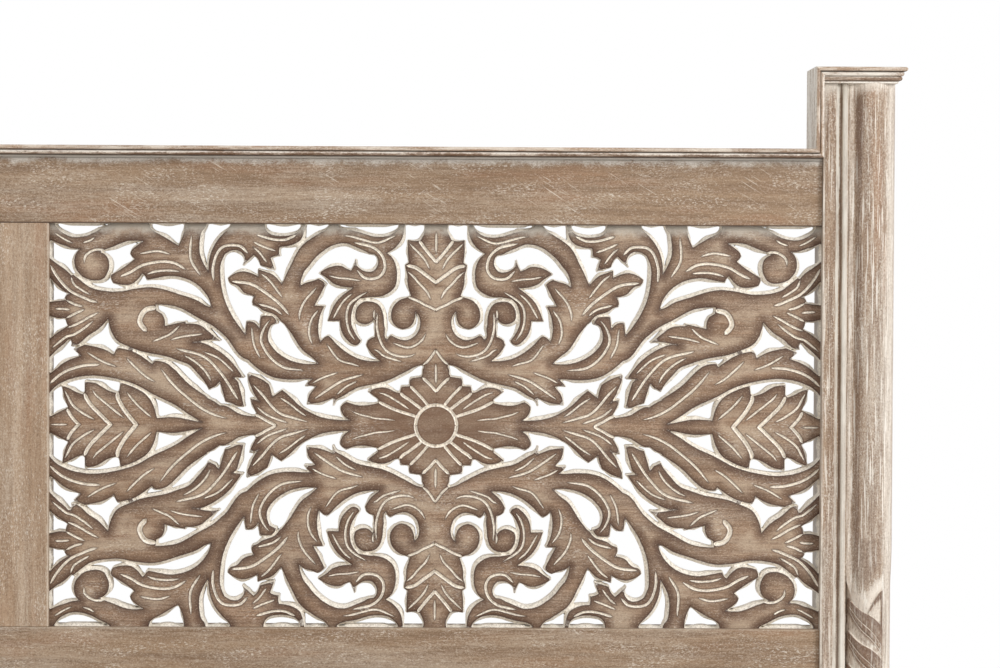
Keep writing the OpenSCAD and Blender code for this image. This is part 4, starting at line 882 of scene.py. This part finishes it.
def carved_quarter(node):
    """The front, walls and back of the quarter of a board above and to the right of its middle, in mm
    from that middle: points (x, depth, z), triangles, and for each point its distance into the wood from
    the nearest outline and its distance into the nearest vein."""
    low, high = (corner[[0, 2]] for corner in corners(node))
    middle, half = (low + high) / 2, (high - low) / 2
    card = (half - TONGUE) / CARD
    loops = [points - middle for points in outlines_of(node)]
    traced = [smooth(p, True, OUTLINE_STEP) for p in loops if (p.min(0) > 0).all()]
    loops = [curve for curve, from_corner in traced]
    starts = np.vstack(loops)
    ends = np.vstack([np.roll(p, -1, 0) for p in loops])
    stem = [np.clip(from_corner / STEM_FROM - 0.4, 0, 1) for curve, from_corner in traced]
    gentle = [LEAF_SPREAD + (STEM_SPREAD - LEAF_SPREAD) * share for share in stem]
    spread = [np.concatenate(gentle), np.concatenate([np.roll(g, -1) for g in gentle])]

    def into_wood(points, both=False):
        """Distance into the wood, or below zero the distance into an opening divided by its spread."""
        inside = is_inside(points, starts, ends)
        spaced = nearest(points, starts, ends, spread=spread)
        return np.where(inside, -spaced, spaced if both else nearest(points, starts, ends))

    strokes = knife_strokes(card)
    cuts = [slice(None, -1), slice(1, None)]
    v_starts, v_ends = (np.vstack([path[cut] for path, width in strokes]) for cut in cuts)
    v_widths = [np.concatenate([width[cut] for path, width in strokes]) for cut in cuts]

    def into_vein(points):
        """Distance into the nearest vein, below zero beside it."""
        return -nearest(points, v_starts, v_ends, width=v_widths)

    # Over a grid, the rim where the slope into an opening ends, and a line half way down that slope
    size = np.ceil(half / GRID_STEP).astype(int)
    ticks = [np.linspace(0, half[k], size[k] + 1) for k in (0, 1)]
    grid = np.stack(np.meshgrid(*ticks, indexing="ij"), 2)
    step = half / size
    field = into_wood(grid.reshape(-1, 2), True).reshape(grid.shape[:2])
    rim, rim_sides = contour(field, -RIM, step)
    bed, bed_sides = contour(field, -BED_LINE, step)
    deep = nearest(bed, rim[rim_sides[:, 0]], rim[rim_sides[:, 1]]) < NEAR_RIM * (RIM - BED_LINE)
    bed_sides = bed_sides[~deep[bed_sides].all(axis=1)]

    # All lines that the front keeps: outlines, rims, the middle and both sides of veins, and the border
    points, sides = [], []

    def add(new, pairs=()):
        """Takes in points, and sides that join them in pairs."""
        sides.append(np.asarray(pairs, int).reshape(-1, 2) + sum(len(p) for p in points))
        points.append(new)

    for loop in loops:
        add(loop, np.vstack([chain(len(loop)), [len(loop) - 1, 0]]))
    add(rim, rim_sides)
    add(bed, bed_sides)
    for path, width in strokes:
        direction = np.gradient(path, axis=0)
        normal = direction[:, ::-1] * [1, -1] / np.linalg.norm(direction, axis=1, keepdims=True)
        for side in (-1, 0, 1):
            line = path + side * width[:, None] * normal
            keep = (into_wood(line) > -OVERRUN) & (line >= -1e-9).all(1)
            add(line, chain(len(line))[keep[:-1] & keep[1:]])
    border = []
    for k, n in enumerate((half / BORDER_STEP).astype(int)):
        for edge in (0, half[1 - k]):
            line = np.zeros((n + 1, 2))
            line[:, k] = np.linspace(0, half[k], n + 1)
            line[:, 1 - k] = edge
            border.append(line)
            add(line, chain(n + 1))

    # Points of the wood between the lines, closer together beside a vein
    coarse, fine = honeycomb(FILL_STEP, half), honeycomb(FINE_STEP, half)
    wood, vein = into_wood(coarse), into_vein(coarse)
    coarse = coarse[(wood > CLEAR) & (vein < -BAND)]
    wood, vein = into_wood(fine), into_vein(fine)
    fine = fine[(wood > INSET) & (vein < -BESIDE_VEIN) & (vein > -BAND)]
    fill = np.vstack([coarse, fine])
    add(fill)

    # The front and the back, without what lies in an opening, and the walls between their edges
    everything = np.vstack(points)
    used = np.zeros(len(everything), bool)
    pairs = np.vstack(sides)
    used[pairs.reshape(-1)] = True
    used[-len(fill):] = True
    used &= (everything >= 0).all(1) & (everything <= half).all(1)
    renumber = np.cumsum(used) - 1
    pairs = renumber[pairs[used[pairs].all(1)]]

    def with_rim(lines):
        """The rim and some lines of the border, as points and sides."""
        starts = np.cumsum([len(rim)] + [len(line) for line in lines])[:-1]
        joined = [chain(len(line)) + start for line, start in zip(lines, starts)]
        return np.vstack([rim] + lines), np.vstack([rim_sides] + joined)

    flat, faces = meshed(everything[used], pairs)
    back, back_faces = meshed(*with_rim(border))
    faces = faces[grid_value(field, step, flat[faces].mean(1)) > -RIM]
    back_faces = back_faces[grid_value(field, step, back[back_faces].mean(1)) > -RIM]
    edge, edge_sides = with_rim([border[1], border[3]])
    wood, vein = into_wood(flat), into_vein(flat)
    edge_wood, edge_vein = into_wood(edge), into_vein(edge)
    a, b, n = edge_sides[:, 0], edge_sides[:, 1], len(edge)
    walls = np.vstack([np.column_stack([a, b, b + n]), np.column_stack([a, b + n, a + n])])
    all_points = np.vstack([
        at_depth(flat, relief(wood, vein)), at_depth(back, BOARD_T),
        at_depth(edge, relief(edge_wood, edge_vein)), at_depth(edge, BOARD_T)
    ])
    all_faces = np.vstack([faces, back_faces + len(flat), walls + len(flat) + len(back)])
    wood_all = np.concatenate([wood, into_wood(back), edge_wood, edge_wood])
    vein_all = np.concatenate([vein, np.full(len(back), NO_VEIN), edge_vein, np.full(n, NO_VEIN)])
    return all_points, all_faces, np.clip(wood_all, -4, 14), np.clip(vein_all, NO_VEIN, 4)


def carved_panel(side, quarter, material):
    """The whole board: the quarter turned over both ways, with the small unevenness of hand work. A slow
    wave, nil at the edges, moves the drawing by up to 0.7 mm and the surface by up to 0.3 mm."""
    points, faces, wood, vein = quarter
    name, node = f"carving_{side}", f"carved_panel_{side}"
    low, high = corners(node)
    middle, half = (low + high) / 2, (high - low) / 2
    copies = [points * [side, 1, turn] for side in (1, -1) for turn in (1, -1)]
    p = np.vstack(copies)
    u, w = p[:, 0] / half[0], p[:, 2] / half[2]
    calm = (1 - u**8) * (1 - w**8)
    seed = 1.7 if middle[0] > 0 else 4.1
    p[:, 0] += SWAY * calm * np.sin(5.1 * u + 3.3 * w + seed) * np.cos(2.3 * w - u)
    p[:, 2] += SWAY * calm * np.sin(4.3 * w - 2.9 * u + seed) * np.cos(3.1 * u)
    p[:, 1] += np.where(p[:, 1] < BOARD_T / 2, DIP + DIP * np.sin(7 * u + seed) * np.cos(5 * w), 0)
    p += [middle[0], low[1], middle[2]]
    triangles = np.vstack([faces + k * len(points) for k in range(4)]).tolist()
    layers = {"wood": np.tile(wood, 4), "vein": np.tile(vein, 4)}
    mesh = carved_piece(name, p, triangles, layers, 0.01, radians(26), turn_out=True)
    add_piece(name, mesh, material, node)


def carved_wood():
    """Brown rubbed faces with a painted highlight on the middle of the broader parts, darker towards every
    outline as painted shade with some stain and beside every vein as painted shade, and white wash left on
    the slopes and in the veins, worn through here and there. Wash also lies under the rail above, and the
    walls of the openings carry dark specks. The back is plain."""
    material, shader, place = new_material("carved_wood")
    low, high = corners("carved_panel_right")
    brown, dark, light = linear(150, 120, 93), linear(115, 88, 66), linear(170, 142, 115)
    white = linear(212, 200, 182)
    plain, height, haze, fibre = washed_wood(place, 0, brown, dark, light, white, 0.22)
    wood, vein = place.attribute("wood"), place.attribute("vein")
    x, y, z = (place.part(k) for k in range(3))
    mottle = place.noise(7, 4.0, 0.65)
    grit = place.noise(1.5, 3.0, 0.8)
    tips = wood.step(11, 0.5) * place.noise(40, 2.0).step(0.30, 0.62)
    threads = place.scaled(0, 0.045).noise(1.7, 4.0, 0.7)
    colour = plain.over(linear(92, 66, 48), threads.step(0.50, 0.38) * 0.42)
    colour = colour.over(linear(176, 150, 126), threads.step(0.54, 0.66) * 0.4)
    # Painted shade, with some stain, darkening the wood towards each outline.
    near = (wood + (mottle - 0.5) * 2.4).step(2.2, 0.0) * (0.6 + mottle * 0.7)
    # Painted shade beside each vein.
    beside = vein.step(-1.6, 0.0) * (0.3 + mottle * 0.8)
    # Painted highlight on the middle of the broader parts of the wood.
    core = wood.step(4, 12) * place.scaled(0, 0.4).noise(22, 3.0, 0.6).step(0.44, 0.62)
    colour = colour.over(linear(196, 176, 152), core * 0.5)
    colour = colour.over(linear(80, 54, 38), tips * 0.95)
    # Painted shade: the wood darker within about 6 mm of an outline.
    colour = colour.over(linear(92, 66, 47), wood.step(6, 0.5) * 0.5)
    speckle = place.scaled(0, 0.6).noise(1.1, 2.0, 0.8)
    colour = colour.over(linear(82, 58, 42), speckle.step(0.46, 0.34) * 0.4)
    colour = colour.over(linear(208, 190, 168), speckle.step(0.56, 0.68) * 0.4)
    # Lays the painted shade by the outlines and beside the veins.
    colour = colour.over(linear(60, 40, 28), near.math("MAXIMUM", beside) * 0.82)
    sideways, upwards = x.math("ABSOLUTE") - (low[0] + high[0]) / 2, z - (low[2] + high[2]) / 2
    off_middle = (sideways * sideways + upwards * upwards * 3.0).math("SQRT")
    rosette = (off_middle + (mottle - 0.5) * 30).step(84, 40)
    colour = colour.over(linear(98, 68, 46), rosette * (1.2 - speckle * 0.7) * 0.78)
    below_rail = (high[2] - TONGUE - z + (mottle - 0.5) * 14 + (grit - 0.5) * 6).step(13, 2)
    colour = colour.over(linear(196, 189, 176), below_rail * 0.75)
    slope = (wood + (mottle - 0.5) * 0.4 + (grit - 0.5) * 0.6).step(0.1, -0.25)
    groove = (vein + (grit - 0.5) * 0.9).step(-0.1, 0.32)
    worn = place.noise(2.2, 3.0, 0.7).step(0.66, 0.42)
    kept = slope.math("MAXIMUM", groove) * (0.62 + worn * 0.38)
    cream = mottle.step(0.35, 0.7).between(linear(250, 243, 231), linear(236, 228, 214))
    colour = colour.over(cream, kept)
    specks = place.noise(1.6, 2.0, 0.75)
    speckled = specks.step(0.66, 0.72) * wood.step(-1.2, -2.0)
    colour = colour.over(linear(58, 42, 32), speckled * 0.85)
    colour = colour.over(plain, y.step(high[1] - 0.8, high[1] - 0.2))
    finish_material(shader, colour, 0.6 + fibre * 0.1 - haze * 0.05, height)
    return material


quarter = carved_quarter("carved_panel_right")
carving = carved_wood()
for side in ["left", "right"]:
    carved_panel(side, quarter, carving)

# Side rails, ledgers and centre beam
# Two long boards of the same washed wood hook onto the posts. A ledger of plain pale wood is screwed along
# the inner face of each, and a deeper beam of that wood hangs between the end rails.
side_wood = board_wood("side_wood", 1, *rail_colours, 0.3, rub=0.15)
for node in ["side_rail_left", "side_rail_right"]:
    dressed(node, side_wood)
bare_colours = linear(198, 170, 134), linear(176, 146, 110), linear(214, 190, 158)
bare_wood_y = board_wood("bare_wood_y", 1, *bare_colours, 0.1)
for node in ["ledger_left", "ledger_right", "centre_beam"]:
    dressed(node, bare_wood_y)

# Slats
# Thirteen planed boards of plain pale wood, left without wash. They lie across the ledgers and the
# centre beam and are screwed down at both ends.
bare_wood_x = board_wood(
    "bare_wood_x", 0, linear(204, 178, 142), linear(182, 152, 116), linear(220, 198, 166), 0.1
)
for node in sorted(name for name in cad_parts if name.startswith("slat_")):
    dressed(node, bare_wood_x)

# Centre legs
# Two square legs of the pale wood under the centre beam, each with a stub tenon on top that sits in
# the beam, and a drilled lower end for the insert and the stem of its foot.
bare_wood_z = board_wood("bare_wood_z", 2, *bare_colours, 0.1)
for node in ["centre_leg_head", "centre_leg_foot"]:
    dressed(node, bare_wood_z)

# Hardware
# Hook plates on the rail ends, slotted plates let into the posts, the hangers of the beam, the inserts
# in the legs and all screws, made of steel and zinc plated.
def plated_steel():
    """Bright zinc plating with fine brushing and a faint bluish bloom."""
    material, shader, place = new_material("plated_steel")
    bloom = place.noise(14, 3.0)
    brush = place.scaled(2, 0.05).noise(0.5, 2.0)
    colour = bloom.between(linear(168, 172, 176), linear(204, 204, 200))
    shader.inputs["Metallic"].default_value = 1.0
    finish_material(shader, colour, 0.28 + brush * 0.2 + bloom * 0.1, brush * 0.02)
    return material


def painted(nodes, material):
    """Gives CAD pieces that are shown as they are their material."""
    for node in nodes:
        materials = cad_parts[node].data.materials
        materials.clear()
        materials.append(material)


painted(["hook_plates", "slotted_plates", "beam_hangers", "leg_inserts", "screws"], plated_steel())

# Feet
# Moulded black plastic. A glide with a peg is driven into the end of each post, and each centre leg
# stands on a round levelling foot whose stem runs in the leg's insert.
def dark_plastic():
    """Moulded black plastic with a fine grain, scuffed grey in places."""
    material, shader, place = new_material("dark_plastic")
    scuff = place.noise(6, 4.0, 0.7).step(0.55, 0.75)
    pebble = place.noise(0.5, 1.0)
    colour = (scuff * 0.5).between(linear(38, 37, 36), linear(92, 90, 86))
    finish_material(shader, colour, 0.45 + scuff * 0.2, pebble * 0.05)
    return material


painted(["post_glides", "levelling_foot_head", "levelling_foot_foot"], dark_plastic())

# Floor and light
# A matt white studio floor that runs out into plain white under an even pale sky, with a soft box on
# the right, above the foot of the bed, and a larger and weaker one on the left.
FLOOR_REACH = 15.0
FADE_FROM, FADE_TO = 1900, 3600
WORLD_LIGHT = 0.55


def seen_rays(value):
    """1 for rays from the camera, from a glossy surface or through a clear one."""
    rays = value.node("LightPath", {}, "Is Camera Ray")
    for kind in ["Is Glossy Ray", "Is Transmission Ray"]:
        rays = rays.math("MAXIMUM", value.node("LightPath", {}, kind))
    return rays


def floor_material():
    """Matt white near the bed; further out it shows as plain white to the eye and in reflections."""
    material, shader, place = new_material("studio_floor")
    shader.inputs["Base Color"].default_value = (0.86, 0.86, 0.86, 1)
    shader.inputs["Roughness"].default_value = 0.9
    far = place.scaled(2, 0).vector("LENGTH", output="Value").step(FADE_FROM, FADE_TO)
    white = place.node("Emission", {"Color": (1, 1, 1, 1), "Strength": 1.0})
    tree = material.node_tree
    bare = Value(tree, shader.outputs[0])
    mixed = place.node("MixShader", {0: far * seen_rays(place), 1: bare, 2: white})
    tree.links.new(mixed.socket, tree.nodes["Material Output"].inputs["Surface"])
    return material


floor_mesh = bpy.data.meshes.new("studio_floor")
floor_corners = np.array([(-1, -1, 0), (1, -1, 0), (1, 1, 0), (-1, 1, 0)]) * FLOOR_REACH
floor_mesh.from_pydata(floor_corners.tolist(), [], [(0, 1, 2, 3)])
floor_mesh.materials.append(floor_material())
floor = bpy.data.objects.new("studio_floor", floor_mesh)
bpy.context.scene.collection.objects.link(floor)

world = bpy.data.worlds.new("studio")
bpy.context.scene.world = world
world.use_nodes = True
background = world.node_tree.nodes["Background"]
start = Value(world.node_tree, None)
background.inputs["Color"].default_value = (1, 1, 1, 1)
strength = seen_rays(start) * (1 - WORLD_LIGHT) + WORLD_LIGHT
world.node_tree.links.new(strength.socket, background.inputs["Strength"])


def soft_lamp(name, place, target, side, power):
    """A square soft box at a place, facing its target."""
    data = bpy.data.lights.new(name, "AREA")
    data.shape = "SQUARE"
    data.size = side
    data.energy = power
    lamp = bpy.data.objects.new(name, data)
    lamp.location = place
    lamp.rotation_mode = "QUATERNION"
    lamp.rotation_quaternion = (Vector(target) - Vector(place)).to_track_quat("-Z", "Y")
    bpy.context.scene.collection.objects.link(lamp)


soft_lamp("key_light", (3.4, -1.9, 2.5), (0.3, 0.6, 0.7), 1.8, 120)
soft_lamp("fill_light", (-1.8, -3.6, 2.6), (0, 0.4, 0.6), 2.6, 70)

# Camera
# A long lens between foot and head of the bed, at the height of the top rail and almost square to it,
# aimed at the right-hand half of the headboard.
CAMERA_PLACE = (0.4201, -1.865, 1.0947)
YAW, PITCH, ROLL = radians(0.73), radians(-1.433), radians(0.275)
LENS = 112.8
ahead = np.array([sin(YAW) * cos(PITCH), cos(YAW) * cos(PITCH), sin(PITCH)])
right = np.array([cos(YAW), -sin(YAW), 0.0])
up = np.cross(right, ahead)
tilted_right = cos(ROLL) * right + sin(ROLL) * up
tilted_up = cos(ROLL) * up - sin(ROLL) * right
camera_data = bpy.data.cameras.new("camera")
camera_data.lens = LENS
camera_data.sensor_width = 36.0
camera_data.clip_start = 0.05
camera = bpy.data.objects.new("camera", camera_data)
turned = Matrix(np.column_stack([tilted_right, tilted_up, -ahead]).tolist())
camera.matrix_world = Matrix.Translation(CAMERA_PLACE) @ turned.to_4x4()
bpy.context.scene.collection.objects.link(camera)
bpy.context.scene.camera = camera
bpy.context.scene.view_settings.view_transform = "Standard"
